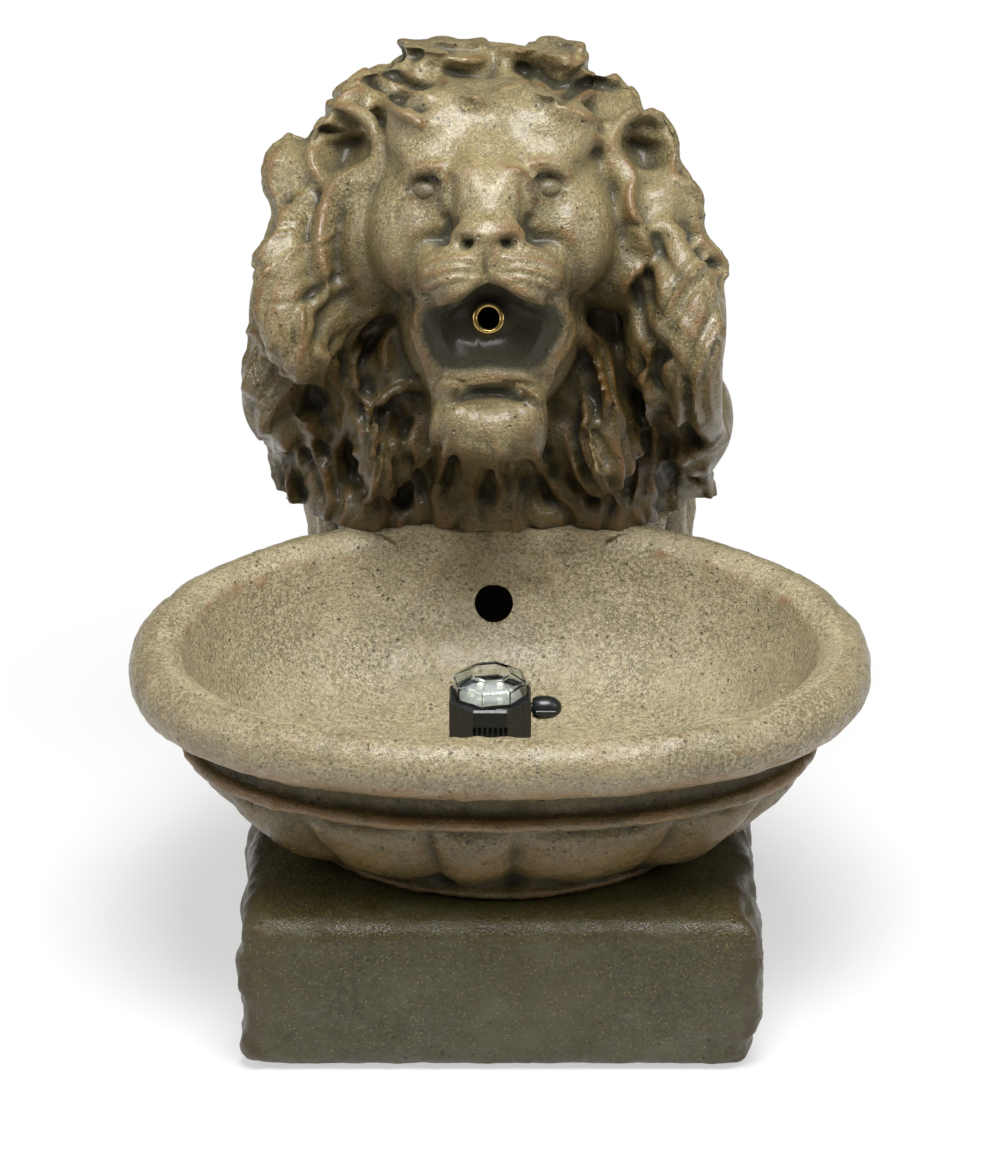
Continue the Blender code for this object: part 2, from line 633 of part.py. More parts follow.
def pipe_rings(path, radius, sides):
    rings = []
    for i, p in enumerate(path):
        ahead = (path[min(i + 1, len(path) - 1)] - path[max(i - 1, 0)]).normalized()
        side = Vector((1, 0, 0))
        side = (side - ahead * side.dot(ahead)).normalized()
        up = side.cross(ahead)
        turn = [2 * math.pi * k / sides for k in range(sides)]
        rings.append([p + side * (radius * math.cos(t)) + up * (radius * math.sin(t)) for t in turn])
    return rings


def make_hose(clear_hose, steel):
    path = hose_path()
    bm = bmesh.new()
    outer = pipe_rings(path, HOSE_R, HOSE_SIDES)
    inner = pipe_rings(path, HOSE_BORE, HOSE_SIDES)
    loft(bm, outer + inner[::-1], start="loop", end="loop")
    add_object("riser_hose", bm, clear_hose)
    start = HEAD_FRAME @ Matrix.Translation((0, SPOUT_U, SPOUT_BACK_W - 0.0085))
    bm = bmesh.new()
    lathe(bm, washer(HOSE_R + 0.0018, HOSE_R + GAP, -0.0025, 0.0025), 20, start)
    add_object("hose_clamp", bm, steel)


# Pump
def octagon_prism(bm, half, low, high, chamfer=0.0, turn=0.0):
    rings = [[Vector((PUMP_X, PUMP_Y, low))], octagon(half, low, turn), octagon(half, high - chamfer, turn)]
    if chamfer:
        rings.append(octagon(half - chamfer, high, turn))
    rings.append([Vector((PUMP_X, PUMP_Y, high))])
    loft(bm, rings)


def make_housing(plastic):
    bm = bmesh.new()
    octagon_prism(bm, PUMP_HALF, PUMP_BOTTOM, PUMP_TOP, 0.0012)
    housing = add_object("pump_housing", bm, plastic, 20)
    front_y = PUMP_Y + PUMP_FRONT
    front = cutter_box("front_cutter", (-0.1, -0.2, 0), (0.1, front_y, 0.3), plastic)
    cut(housing, front)
    chamber = cutter_lathe("chamber_cutter", rod(0.0135, -0.01, 0.0105), 24,
                           along_y(PUMP_X, front_y, SHAFT_Z), plastic)
    cut(housing, chamber)
    well = cutter_lathe("well_cutter", rod(0.0083, 0, 0.036), 20, along_y(PUMP_X, front_y, SHAFT_Z), plastic)
    cut(housing, well)
    outlet = cutter_lathe("outlet_cutter", rod(OUTLET_R, 0.005, 0.05), 16,
                          along_y(PUMP_X, front_y, SHAFT_Z + OUTLET_UP), plastic)
    cut(housing, outlet)
    bm = bmesh.new()
    octagon_prism(bm, LENS_HALF - 0.0025, PUMP_TOP - 0.004, PUMP_TOP + 0.02, turn=LENS_TURN)
    cut(housing, hide_cutter(add_object("board_recess", bm, plastic)))
    socket = cutter_lathe("knob_socket", rod(KNOB_STEM_R + 0.0004, -0.006, 0.02), 16,
                          along_x(PUMP_X + PUMP_HALF, PUMP_Y + KNOB_Y, KNOB_Z), plastic)
    cut(housing, socket)
    gland = cutter_lathe("gland_socket", rod(0.0030, -0.005, 0.02), 14,
                         along_y(PUMP_X + GLAND_X, PUMP_Y + PUMP_HALF, PUMP_BOTTOM + 0.008), plastic)
    return cut(housing, gland)


def make_strainer(plastic, foam):
    """The front cover, a shell with tall slots, and the foam behind it. They pull off forwards."""
    front_y = PUMP_Y + PUMP_FRONT - GAP
    bm = bmesh.new()
    octagon_prism(bm, PUMP_HALF, PUMP_BOTTOM, PUMP_TOP, 0.0012)
    cover = add_object("strainer_cover", bm, plastic, 20)
    cut(cover, cutter_box("cover_back", (-0.1, front_y, 0), (0.1, 0.2, 0.3), plastic))
    wall, low, high = 0.0020, PUMP_BOTTOM + 0.003, PUMP_TOP - 0.006
    bm = bmesh.new()
    octagon_prism(bm, PUMP_HALF - wall, low, high)
    cut(cover, hide_cutter(add_object("cover_hollow", bm, plastic)))
    bm = bmesh.new()
    for i in range(-3, 4):
        wide = 0.0011
        x = PUMP_X + i * 0.0032
        box(bm, (x - wide, front_y - 0.02, low + 0.005), (x + wide, front_y - 0.007, high - 0.005))
    cut(cover, hide_cutter(add_object("slots_cutter", bm, plastic)))
    bm = bmesh.new()
    octagon_prism(bm, LENS_HALF - 0.0025, PUMP_TOP - 0.004, PUMP_TOP + 0.02, turn=LENS_TURN)
    cut(cover, hide_cutter(add_object("cover_recess", bm, plastic)))
    bm = bmesh.new()
    octagon_prism(bm, PUMP_HALF - wall - 0.0005, low + 0.0005, high - 0.0005)
    block = add_object("filter_foam", bm, foam)
    cut(block, cutter_box("foam_back", (-0.1, front_y - 0.0004, 0), (0.1, 0.2, 0.3), foam))


def make_rotor(plastic, magnet, steel, bush):
    """Impeller and magnet on a fixed shaft, between two bushes, behind the chamber's cover."""
    front_y = PUMP_Y + PUMP_FRONT
    axis = along_y(PUMP_X, front_y, SHAFT_Z)
    bm = bmesh.new()
    lathe(bm, washer(0.0132, 0.0040, 0.0003, 0.0022), 20, axis)
    cover = add_object("chamber_cover", bm, plastic)
    bm = bmesh.new()
    for i in range(INLET_PORTS):
        turn = axis @ Matrix.Rotation(2 * math.pi * i / INLET_PORTS, 4, "Z") @ Matrix.Translation((0.0085, 0, 0))
        lathe(bm, rod(0.0020, -0.002, 0.005), 6, turn)
    cut(cover, hide_cutter(add_object("inlet_ports", bm, plastic)))
    bm = bmesh.new()
    lathe(bm, rod(0.0120, 0.0087, 0.0097), 20, axis)
    impeller = add_object("impeller", bm, plastic)
    for i in range(IMPELLER_BLADES):
        turn = axis @ Matrix.Rotation(2 * math.pi * i / IMPELLER_BLADES, 4, "Z")
        bm = bmesh.new()
        blade = turn @ Matrix.Translation((0.0070, 0, 0.0062)) @ Matrix.Diagonal((0.0086, 0.0012, 0.0060, 1))
        bmesh.ops.create_cube(bm, size=1, matrix=blade)
        cut(impeller, hide_cutter(add_object("blade_%d" % i, bm, plastic)), "UNION")
    bm = bmesh.new()
    lathe(bm, rod(0.0030, 0.0034, 0.0092), 12, axis)
    cut(impeller, hide_cutter(add_object("hub", bm, plastic)), "UNION")
    cut(impeller, cutter_lathe("hub_bore", rod(0.0013, 0.0, 0.02), 12, axis, plastic))
    bm = bmesh.new()
    lathe(bm, washer(0.0072, 0.0013, 0.0100, 0.0312), 20, axis)
    add_object("rotor_magnet", bm, magnet)
    bm = bmesh.new()
    lathe(bm, rod(0.0010, 0.0006, 0.0350), 10, axis)
    add_object("rotor_shaft", bm, steel)
    for name, low, high in (("front_bush", 0.0004, 0.0028), ("rear_bush", 0.0316, 0.0340)):
        bm = bmesh.new()
        outer = 0.0037 if name == "front_bush" else 0.0080
        lathe(bm, washer(outer, 0.0013, low, high), 12, axis)
        add_object(name, bm, bush)


def make_fittings(plastic, rubber):
    """The outlet behind, the flow knob at the right, the lead's gland and the four feet."""
    front_y = PUMP_Y + PUMP_FRONT
    bm = bmesh.new()
    outlet = [(0.0026, 0.0382), (OUTLET_R - GAP, 0.0382), (OUTLET_R - GAP, 0.0403), (0.0058, 0.0403), (0.0058, 0.0420),
              (0.0042, 0.0426), (0.0048, 0.0480), (0.0040, 0.0486), (0.0046, 0.0540), (0.0038, 0.0556), (0.0026, 0.0556)]
    lathe(bm, outlet, 12, along_y(PUMP_X, front_y, SHAFT_Z + OUTLET_UP))
    add_object("outlet_nozzle", bm, plastic)
    bm = bmesh.new()
    knob = [(0, -0.0055), (KNOB_STEM_R, -0.0055), (KNOB_STEM_R, 0.0012), (0.0058, 0.0012), (0.0062, 0.0030),
            (0.0062, 0.0110), (0.0048, 0.0150), (0.0026, 0.0170), (0, 0.0176)]
    lathe(bm, knob, 16, along_x(PUMP_X + PUMP_HALF, PUMP_Y + KNOB_Y, KNOB_Z))
    grip = add_object("flow_knob", bm, plastic)
    middle = Vector((PUMP_X + PUMP_HALF + 0.0080, PUMP_Y + KNOB_Y, KNOB_Z))
    bm = bmesh.new()
    box(bm, middle - Vector((0.0055, 0.0075, 0.0016)), middle + Vector((0.0055, 0.0075, 0.0016)))
    cut(grip, hide_cutter(add_object("knob_wings", bm, plastic)), "UNION")
    bm = bmesh.new()
    lathe(bm, [(0.0014, -0.0045), (0.0027, -0.0045), (0.0027, 0.0005), (0.0042, 0.0005), (0.0042, 0.0030),
               (0.0030, 0.0060), (0.0014, 0.0060)], 14,
          along_y(PUMP_X + GLAND_X, PUMP_Y + PUMP_HALF, PUMP_BOTTOM + 0.008))
    add_object("cable_gland", bm, rubber)
    for name, sx, sy in (("foot_front_left", -1, -1), ("foot_front_right", 1, -1),
                         ("foot_back_left", -1, 1), ("foot_back_right", 1, 1)):
        low = BOWL_FLOOR_Z + GAP
        bm = bmesh.new()
        y = PUMP_Y + (0.014 if sy > 0 else -0.010)
        place = Matrix.Translation((PUMP_X + sx * 0.014, y, low))
        lathe(bm, [(0, 0), (0.0055, 0), (0.0052, 0.0010), (0.0030, 0.0020), (0.0030, PUMP_FOOT_H), (0, PUMP_FOOT_H)], 12,
              place)
        add_object(name, bm, rubber)


def make_light(clear, rubber, board_look, emitter):
    """An eight-sided clear cap over a board with bright lamps."""
    bm = bmesh.new()
    board = [octagon(LENS_HALF - 0.0029, PUMP_TOP - height, LENS_TURN) for height in (0.0037, 0.0021)]
    loft(bm, board, start="cap", end="cap")
    add_object("light_board", bm, board_look, 20)
    for i in range(LAMPS):
        a = 2 * math.pi * i / LAMPS
        bm = bmesh.new()
        x, y = PUMP_X + LAMP_RING * math.cos(a), PUMP_Y + LAMP_RING * math.sin(a)
        place = Matrix.Translation((x, y, PUMP_TOP - 0.0018))
        lathe(bm, [(0, 0), (LAMP_R, 0), (LAMP_R * 0.9, 0.0028), (0, 0.0042)], 8, place)
        add_object("lamp_%d" % (i + 1), bm, emitter)
    bm = bmesh.new()
    low, high = PUMP_TOP + GAP, PUMP_TOP + 0.0013
    outline = [(LENS_HALF - 0.0006, low), (LENS_HALF - 0.0006, high), (LENS_HALF - 0.0022, high),
               (LENS_HALF - 0.0022, low)]
    rings = [octagon(half, z, LENS_TURN) for half, z in outline]
    loft(bm, rings, start="loop", end="loop")
    add_object("lens_seal", bm, rubber, 20)
    bm = bmesh.new()
    low = high + GAP
    top = PUMP_TOP + LENS_H
    wall = 0.0018
    outer = [(LENS_HALF, low), (LENS_HALF, top - 0.0052), (LENS_HALF - 0.0024, top - 0.0036),
             (LENS_HALF - 0.0080, top - 0.0008)]
    rings = [[Vector((PUMP_X, PUMP_Y, top - wall))]]
    rings += [octagon(half - wall, z - wall * 0.9, LENS_TURN) for half, z in outer[:0:-1]]
    rings += [octagon(half, z, LENS_TURN) for half, z in [(LENS_HALF - wall, low)] + outer]
    rings.append([Vector((PUMP_X, PUMP_Y, top))])
    loft(bm, rings)
    add_object("lens_cap", bm, clear, 20)


clear_scene()
STONE = material("cast_stone", (0.36, 0.31, 0.22), 0.8)
BRASS = material("brass", (0.60, 0.42, 0.16), 0.35, 1.0)
RUBBER = material("rubber", (0.03, 0.03, 0.03), 0.8)
PLASTIC = material("black_plastic", (0.012, 0.014, 0.013), 0.4)
CLEAR = material("clear_plastic", (0.80, 0.84, 0.84), 0.08)
HOSE = material("hose_plastic", (0.55, 0.58, 0.55), 0.3)
STEEL = material("steel", (0.55, 0.55, 0.55), 0.3, 1.0)
MAGNET = material("magnet", (0.05, 0.05, 0.055), 0.5)
FOAM = material("foam", (0.02, 0.02, 0.02), 0.95)
CERAMIC = material("bush_ceramic", (0.75, 0.74, 0.70), 0.4)
BOARD = material("board", (0.80, 0.80, 0.78), 0.5)
LAMP = material("lamp", (0.9, 0.9, 0.8), 0.2)

make_base_block(STONE)
make_basin(STONE)
finish_head(make_head(STONE), STONE)
make_spout(BRASS, RUBBER)
make_hose(HOSE, STEEL)
make_housing(PLASTIC)
make_strainer(PLASTIC, FOAM)
make_rotor(PLASTIC, MAGNET, STEEL, CERAMIC)
make_fittings(PLASTIC, RUBBER)
make_light(CLEAR, RUBBER, BOARD, LAMP)
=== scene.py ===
"""A garden fountain, finished for its picture: a lion's head over an oval basin on a hewn block.

A small pump with a lit lens stands in the bowl. Metres, +Z up, the front faces -Y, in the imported
model's frame.
"""
import math

import bmesh
import bpy
import numpy as np
from mathutils import Matrix, Vector, noise
from mathutils.bvhtree import BVHTree


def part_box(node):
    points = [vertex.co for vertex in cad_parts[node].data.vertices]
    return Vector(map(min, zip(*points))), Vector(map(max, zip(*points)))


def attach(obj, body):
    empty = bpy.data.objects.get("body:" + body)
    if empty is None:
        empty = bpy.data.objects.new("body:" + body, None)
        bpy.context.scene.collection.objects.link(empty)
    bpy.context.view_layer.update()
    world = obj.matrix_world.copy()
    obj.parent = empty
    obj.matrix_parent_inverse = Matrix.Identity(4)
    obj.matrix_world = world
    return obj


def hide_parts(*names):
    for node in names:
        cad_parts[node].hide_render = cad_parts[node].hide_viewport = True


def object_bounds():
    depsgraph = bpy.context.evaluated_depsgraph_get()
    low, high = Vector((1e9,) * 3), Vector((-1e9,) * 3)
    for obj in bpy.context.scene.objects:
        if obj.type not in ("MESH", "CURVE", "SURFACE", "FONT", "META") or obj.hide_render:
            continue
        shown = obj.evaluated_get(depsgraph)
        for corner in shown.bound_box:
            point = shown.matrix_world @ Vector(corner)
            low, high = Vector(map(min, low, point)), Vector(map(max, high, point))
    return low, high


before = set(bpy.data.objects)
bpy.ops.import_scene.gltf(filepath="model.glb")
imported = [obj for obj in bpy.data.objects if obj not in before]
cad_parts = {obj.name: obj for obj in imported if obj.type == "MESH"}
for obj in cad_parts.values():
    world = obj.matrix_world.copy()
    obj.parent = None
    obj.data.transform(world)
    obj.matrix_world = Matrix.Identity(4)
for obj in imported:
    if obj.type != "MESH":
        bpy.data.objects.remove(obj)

CAD_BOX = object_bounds()

# Sizes of the whole, some of them read from the frame
BASIN_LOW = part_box("basin")[0]
LENS_LOW, LENS_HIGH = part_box("lens_cap")
BACK_Y = 0.215
BOWL_FRONT = 0.160
BOWL_BACK = 0.190
BOWL_Y = BOWL_FRONT - BACK_Y
HALF_WIDTH = 0.225
RIM_Z = 0.208
RIM_R = 0.018
RIM_TOP = RIM_Z + RIM_R
BASE_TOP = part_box("base_block")[1][2]
SEAT_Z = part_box("lion_head")[0][2]
TOP_Z = 0.520
GAP = 0.0003

# The face's own frame: it looks up at the viewer, with u up the face and w out of it, in millimetres
HEAD_AT = Vector((-0.007, BOWL_Y + 0.095, 0.4803))
TILT = math.radians(25)
FACE_X, FACE_U = 0.00098, 0.00102
WIDER, TALLER = 0.98, 1.02
UP = Vector((0, math.sin(TILT), math.cos(TILT)))
OUT = Vector((0, -math.cos(TILT), math.sin(TILT)))
FACE = Matrix.Translation(HEAD_AT) @ Matrix((
    (FACE_X, 0, 0, 0),
    (0, UP.y * FACE_U, OUT.y * 0.001, 0),
    (0, UP.z * FACE_U, OUT.z * 0.001, 0),
    (0, 0, 0, 1)))
EYE_W, EYE_U = 2171.0, -281.0
CREST_U, CREST_SQUEEZE = 50.0, 0.8
SPOUT_U = -0.078
SPOUT_SEAT_W = -0.0365
MOUTH_W = -36.5
MOUTH_X, MOUTH_U = -1, -88
SPOUT_TUBE_R = 0.0080
SPOT_FACE_W = -0.112
SPOT_FACE_R = 0.016
POCKET_HALF = 0.034
POCKET_FRONT_Y = 0.112
POCKET_TOP = 0.400

# Basin
WALL_HOLE = Vector((-0.004, BOWL_Y + 0.143, 0.178))
WALL_HOLE_R = 0.0125
SLOT_HALF = 0.030
SLOT_FRONT_Y = BOWL_Y + 0.172
SLOT_SILL_Z = 0.152
VALLEYS_DEG = (-65, -37, -11, 2, 32, 59, 88, 116, 145, 173, 202, 231, 259)
STEPS_PER_LOBE = 14
GADROON_DEPTH = 0.0112
SHOULDER_HALF = (0.132, 0.128)
SHOULDER_Y = 0.195

# Lens and knob
LENS_TURN = 10
KNOB_AT = Vector((0.019, BOWL_Y + 0.006, 0.172))

# Base
BLOCK_HALF = 0.151
BLOCK_FRONT_Y = BOWL_Y - 0.135
BLOCK_ROOM_HALF = 0.132
BLOCK_WALL = 0.020
NOTCH_HALF = 0.012
NOTCH_TOP = 0.020

# Camera
LENS_MM = 130.28
EYE_AWAY = 2.2
EYE_RISE = 0.0456

# Carving
COARSE = 0.0028
FINE = 0.00205
SHOULDER_SKIN = 0.0035
BLOCK_SKIN = 0.0030
STRAND_HALF = 5.5
GROOVE_R, GROOVE_DEPTH = 3.4, 4.0
RIDGE_R, RIDGE_LIFT = 2.6, 4.2
EYE_HALF = (11.0, 8.2, 9.0)
EYE_SUNK = 3.0
SOCKET_R, SOCKET_DEPTH = 9.5, 10
EAR_R, EAR_DEPTH = 15, 21

# Masses of the head: middle (x, u, w) and half sizes, in the face's millimetres
MASSES = [
    ((0, -8, -94), (76, 71, 85)), ((2, -74, -92), (58, 70, 70)), ((-2, 14, -152), (104, 74, 54)),
    ((-1, -82, -176), (147, 102, 80)), ((1, -161, -218), (136, 68, 68)), ((-19, -141, -55), (16, 22, 26)),
    ((-122, -128, -160), (30, 36, 38)), ((124, -142, -166), (26, 34, 32)), ((21, -141, -55), (16, 22, 26)),
    ((-19, -154, -58), (15, 11, 22)), ((21, -154, -58), (15, 11, 22)), ((1, -146, -52), (22, 20, 24)),
    ((4, -188, -196), (60, 34, 42)), ((0, 6, -24), (19, 26, 17)), ((-10, -6, -10), (11, 22, 15)),
    ((10, -6, -10), (11, 22, 15)), ((0, -19, -4), (17, 19, 15)), ((0, -31, 9), (26, 10.5, 14)),
    ((-23, -55, -5), (24, 18, 25)), ((24, -55, -5), (25, 18, 25)), ((-13, -45, 2), (14, 13, 17)),
    ((13, -45, 2), (14, 13, 17)), ((0, -44, 0), (14, 15, 16)), ((-46, -32, -50), (28, 38, 31)),
    ((49, -32, -50), (28, 38, 31)), ((-36, 13, -30), (20, 7, 13)), ((36, 14, -30), (20, 7, 13)),
    ((-26, 28, -44), (38, 28, 22)), ((28, 28, -44), (38, 28, 22)), ((-72, -30, -92), (34, 52, 38)),
    ((76, -28, -92), (34, 50, 38)), ((-118, -2, -118), (19, 26, 36)), ((-76, 48, -112), (20, 15, 26)),
    ((-24, 76, -132), (28, 12, 20)), ((40, 74, -132), (24, 12, 22)), ((104, -12, -98), (24, 26, 34)),
    ((-110, -62, -98), (32, 60, 36)), ((114, -84, -98), (32, 62, 38)), ((-62, -150, -130), (24, 40, 24)),
    ((70, -150, -130), (24, 40, 24)),
]
BACK_MASSES = [
    (-0.037, 0.446, 0.038, 0.084, 0.0739), (0.032, 0.446, 0.038, 0.084, 0.0739),
    (-0.009, 0.408, 0.126, 0.09, 0.098), (-0.007, 0.33, 0.142, 0.098, 0.115),
    (-0.007, 0.27, 0.138, 0.105, 0.09), (-0.006, 0.236, 0.12, 0.125, 0.05),
    (-0.08, 0.234, 0.07, 0.122, 0.05), (0.07, 0.234, 0.07, 0.122, 0.05), (-0.101, 0.25, 0.04, 0.108, 0.066),
    (0.092, 0.25, 0.04, 0.108, 0.066),
]

# Locks: points (x, u, lift over the masses, radius)
LOCKS = [
    [(-56, 86, 2, 5), (-50, 86, 6, 6), (-40, 83, 8, 6.5), (-30, 79, 8, 6), (-22, 75, 7, 5.5),
      (-10, 73, 6, 5), (0, 77, 4, 4)],
    [(-52, 87, 0, 4), (-40, 90, 0, 5), (-24, 94, -1, 6), (-12, 92, 0, 6), (-2, 86, 2, 5)],
    [(-50, 80, 2, 6), (-46, 70, 4, 8), (-44, 60, 3, 7)],
    [(-2, 79, 4, 4), (10, 81, 7, 6), (22, 80, 7, 6), (30, 82, 6, 6), (38, 79, 7, 7), (46, 72, 7, 8),
      (54, 68, 6, 7)],
    [(24, 84, 2, 4), (34, 93, 0, 6), (48, 94, 0, 6), (57, 89, 1, 5), (60, 82, 2, 4)],
    [(40, 78, 4, 8), (55, 72, 6, 8), (63, 63, 6, 6), (76, 62, 4, 5), (88, 54, 2, 4)],
    [(4, 50, 3, 3), (12, 56, 7, 5), (24, 56, 8, 5.5), (36, 51, 8, 5.5), (46, 43, 6, 5), (46, 37, 2, 3)],
    [(50, 44, 3, 3), (62, 50, 6, 5), (76, 55, 7, 6), (88, 52, 6, 5), (95, 45, 4, 4)],
    [(52, 41, 2, 3), (62, 37, 5, 4), (72, 33, 4, 4)],
    [(-30, 64, 3, 3), (-24, 57, 7, 5), (-14, 52, 9, 5.5), (-6, 48, 7, 5), (-1, 41, 3, 3)],
    [(-76, 40, 2, 3), (-66, 44, 5, 5), (-54, 41, 6, 5.5), (-44, 35, 4, 4), (-38, 32, 2, 3)],
    [(-99, 42, 2, 5), (-90, 49, 4, 8), (-78, 59, 4, 9), (-64, 63, 3, 9), (-50, 64, 3, 7)],
    [(-66, 12, 2, 3), (-76, 8, 5, 4.5), (-86, 4, 7, 5), (-95, -4, 8, 5.5), (-100, -16, 8, 6),
      (-104, -32, 8, 6), (-102, -48, 7, 5.5), (-99, -60, 5, 5), (-101, -74, 3, 4)],
    [(64, 26, 2, 3), (74, 20, 5, 4.5), (82, 12, 7, 5), (89, 2, 8, 5), (86, -8, 7, 5), (88, -20, 8, 5.5),
      (95, -32, 8, 6), (97, -46, 6, 5), (88, -56, 5, 5), (83, -66, 4, 4), (86, -76, 2, 3)],
    [(-119, 26, -3, 7), (-126, 21, 2, 8), (-132, 8, 3, 9), (-134, -6, 3, 8), (-128, -18, 2, 6)],
    [(-112, -8, 4, 5), (-122, -24, 6, 10), (-128, -48, 8, 17), (-128, -70, 9, 19), (-120, -94, 10, 18),
      (-108, -110, 9, 13), (-97, -124, 6, 8), (-93, -136, 2, 4)],
    [(-118, -14, 6, 4), (-132, -32, 4, 6), (-144, -50, 0, 7)],
    [(-151, -92, 4, 4), (-142, -92, 7, 5), (-136, -102, 8, 5), (-126, -113, 9, 5), (-114, -117, 9, 5),
      (-101, -119, 8, 5.5), (-92, -126, 6, 5.5), (-94, -138, 3, 4)],
    [(-142, -98, -2, 8), (-146, -114, -2, 9), (-140, -130, -2, 8)],
    [(-138, -132, 0, 7), (-134, -148, 0, 9), (-132, -164, 0, 8), (-128, -182, 0, 7), (-125, -196, 0, 6)],
    [(-128, -156, 3, 4), (-119, -166, 6, 6), (-122, -180, 6, 6.5), (-124, -194, 4, 6)],
    [(-104, -160, 2, 5), (-106, -176, 5, 10), (-102, -192, 4, 9)],
    [(-118, -140, 5, 4), (-108, -150, 6, 5), (-98, -158, 3, 4)],
    [(-46, -119, 2, 3), (-54, -121, 8, 4.5), (-63, -125, 11, 5.5), (-71, -133, 12, 6),
      (-75, -145, 11, 5.5), (-70, -157, 9, 5.5), (-67, -170, 8, 5.5), (-72, -184, 5, 5),
      (-80, -196, 2, 4)],
    [(-32, -128, -2, 4), (-33, -146, 2, 5), (-32, -166, 4, 6), (-34, -180, 4, 6), (-42, -194, 2, 4)],
    [(-44, -195, 2, 3), (-36, -188, 6, 4), (-26, -184, 7, 4), (-16, -181, 4, 3)],
    [(-70, -78, 1, 5), (-82, -88, 4, 6), (-86, -102, 5, 6), (-82, -120, 4, 6), (-90, -142, 2, 6),
      (-94, -160, 2, 5)],
    [(-56, -84, 1, 5), (-64, -98, 3, 6), (-62, -112, 3, 5)],
    [(-88, -138, 2, 5), (-90, -160, 3, 6), (-86, -180, 2, 5), (-90, -196, 1, 5)],
    [(56, -88, 2, 5), (66, -100, 6, 8), (70, -116, 7, 9), (74, -130, 5, 7), (78, -142, 2, 4)],
    [(58, -132, 3, 4), (62, -146, 8, 5), (65, -160, 9, 5.5), (70, -176, 8, 5.5), (78, -190, 5, 5),
      (86, -198, 2, 4)],
    [(28, -160, 2, 4), (33, -172, 7, 5), (42, -181, 9, 5.5), (50, -190, 7, 5), (52, -198, 3, 4)],
    [(98, -168, 2, 4), (110, -167, 6, 5), (124, -163, 7, 6), (136, -158, 5, 7), (144, -150, 2, 8)],
    [(104, -24, 4, 8), (116, -46, 8, 16), (122, -74, 10, 21), (124, -104, 10, 21), (130, -132, 7, 15),
      (138, -152, 4, 9)],
    [(114, -72, 12, 4), (104, -86, 9, 5), (96, -98, 6, 5), (94, -116, 4, 4)],
    [(118, 2, 2, 6), (128, -14, 3, 8), (130, -30, 2, 7), (140, -44, 0, 6), (148, -58, -2, 5)],
    [(100, -130, 2, 6), (106, -150, 3, 8), (98, -170, 2, 7), (96, -194, 2, 6)],
    [(132, -168, 0, 6), (134, -184, 0, 7), (136, -198, 0, 7)],
    [(114, -176, 2, 5), (112, -190, 3, 6), (118, -200, 2, 5)],
    [(4, -160, 2, 8), (6, -178, 4, 9), (14, -192, 3, 9)],
    [(-14, -158, 2, 6), (-12, -176, 3, 7), (-8, -192, 3, 8)],
    [(-41, -74, 6, 4), (-47, -86, 8, 4.5), (-44, -98, 8, 4.5), (-38, -110, 8, 4.5), (-35, -122, 8, 5)],
    [(46, -74, 6, 4), (52, -86, 8, 4.5), (49, -98, 8, 4.5), (40, -110, 8, 4.5), (36, -122, 8, 5)],
    [(-33, -128, 10, 4.5), (-22, -121, 15, 5), (-8, -118, 18, 5), (6, -117, 18, 5), (19, -120, 15, 5),
      (33, -130, 10, 4.5)],
]
EARS = [(-88, 17, 25, 29, -1), (95, 16, 24, 29, 1)]
MOUTH = [
    (0, -58), (9, -61), (19, -67), (29, -72), (38, -76), (43, -83), (41, -92), (36, -101), (30, -109),
    (14, -110), (0, -109), (-14, -110), (-28, -110), (-34, -101), (-38, -92), (-39, -82), (-35, -76),
    (-25, -73), (-16, -68), (-8, -62),
]

# Carved hollows between the locks: points (x, u), radius, depth
HOLLOWS = [
    ([(-60, -132), (-56, -142), (-50, -150)], 11, 16), ([(-84, -146), (-86, -164), (-84, -186)], 8, 13),
    ([(-54, -164), (-52, -178), (-56, -192)], 9, 14), ([(-70, -92), (-74, -104)], 8, 6),
    ([(88, -112), (92, -134), (90, -158)], 10, 14), ([(112, -176), (108, -190), (112, -198)], 11, 15),
    ([(58, -166), (62, -180), (66, -192)], 8, 13), ([(34, -184), (38, -194)], 7, 8),
    ([(-104, -132), (-112, -128)], 7, 7), ([(-112, -166), (-114, -180), (-114, -194)], 5, 8),
    ([(-10, -166), (-4, -172)], 7, 6), ([(52, -136), (52, -154), (56, -170)], 6, 8),
    ([(82, -84), (80, -98)], 6, 6), ([(98, -66), (98, -76)], 6, 8),
    ([(-88, -14), (-92, -34), (-92, -54)], 6, 7), ([(78, 2), (76, -20), (84, -40)], 6, 5),
    ([(-30, 70), (-14, 64), (0, 62)], 8, 13), ([(16, 70), (30, 68), (44, 60)], 7, 13),
    ([(-60, 58), (-70, 54)], 6, 9), ([(56, 58), (66, 56)], 5, 9), ([(-26, 86), (-12, 82), (-4, 82)], 6, 10),
    ([(48, 87), (42, 86)], 4, 4), ([(-108, -22), (-112, -40)], 5, 6), ([(106, -30), (100, -50)], 5, 6),
    ([(-68, 28), (-60, 32)], 4, 4), ([(2, 88), (2, 74), (2, 60), (2, 52)], 6, 9),
    ([(-46, -70), (-50, -84)], 7, 5), ([(54, -70), (54, -84)], 7, 5), ([(-44, -126), (-42, -140)], 6, 8),
    ([(42, -128), (44, -144)], 6, 8),
]

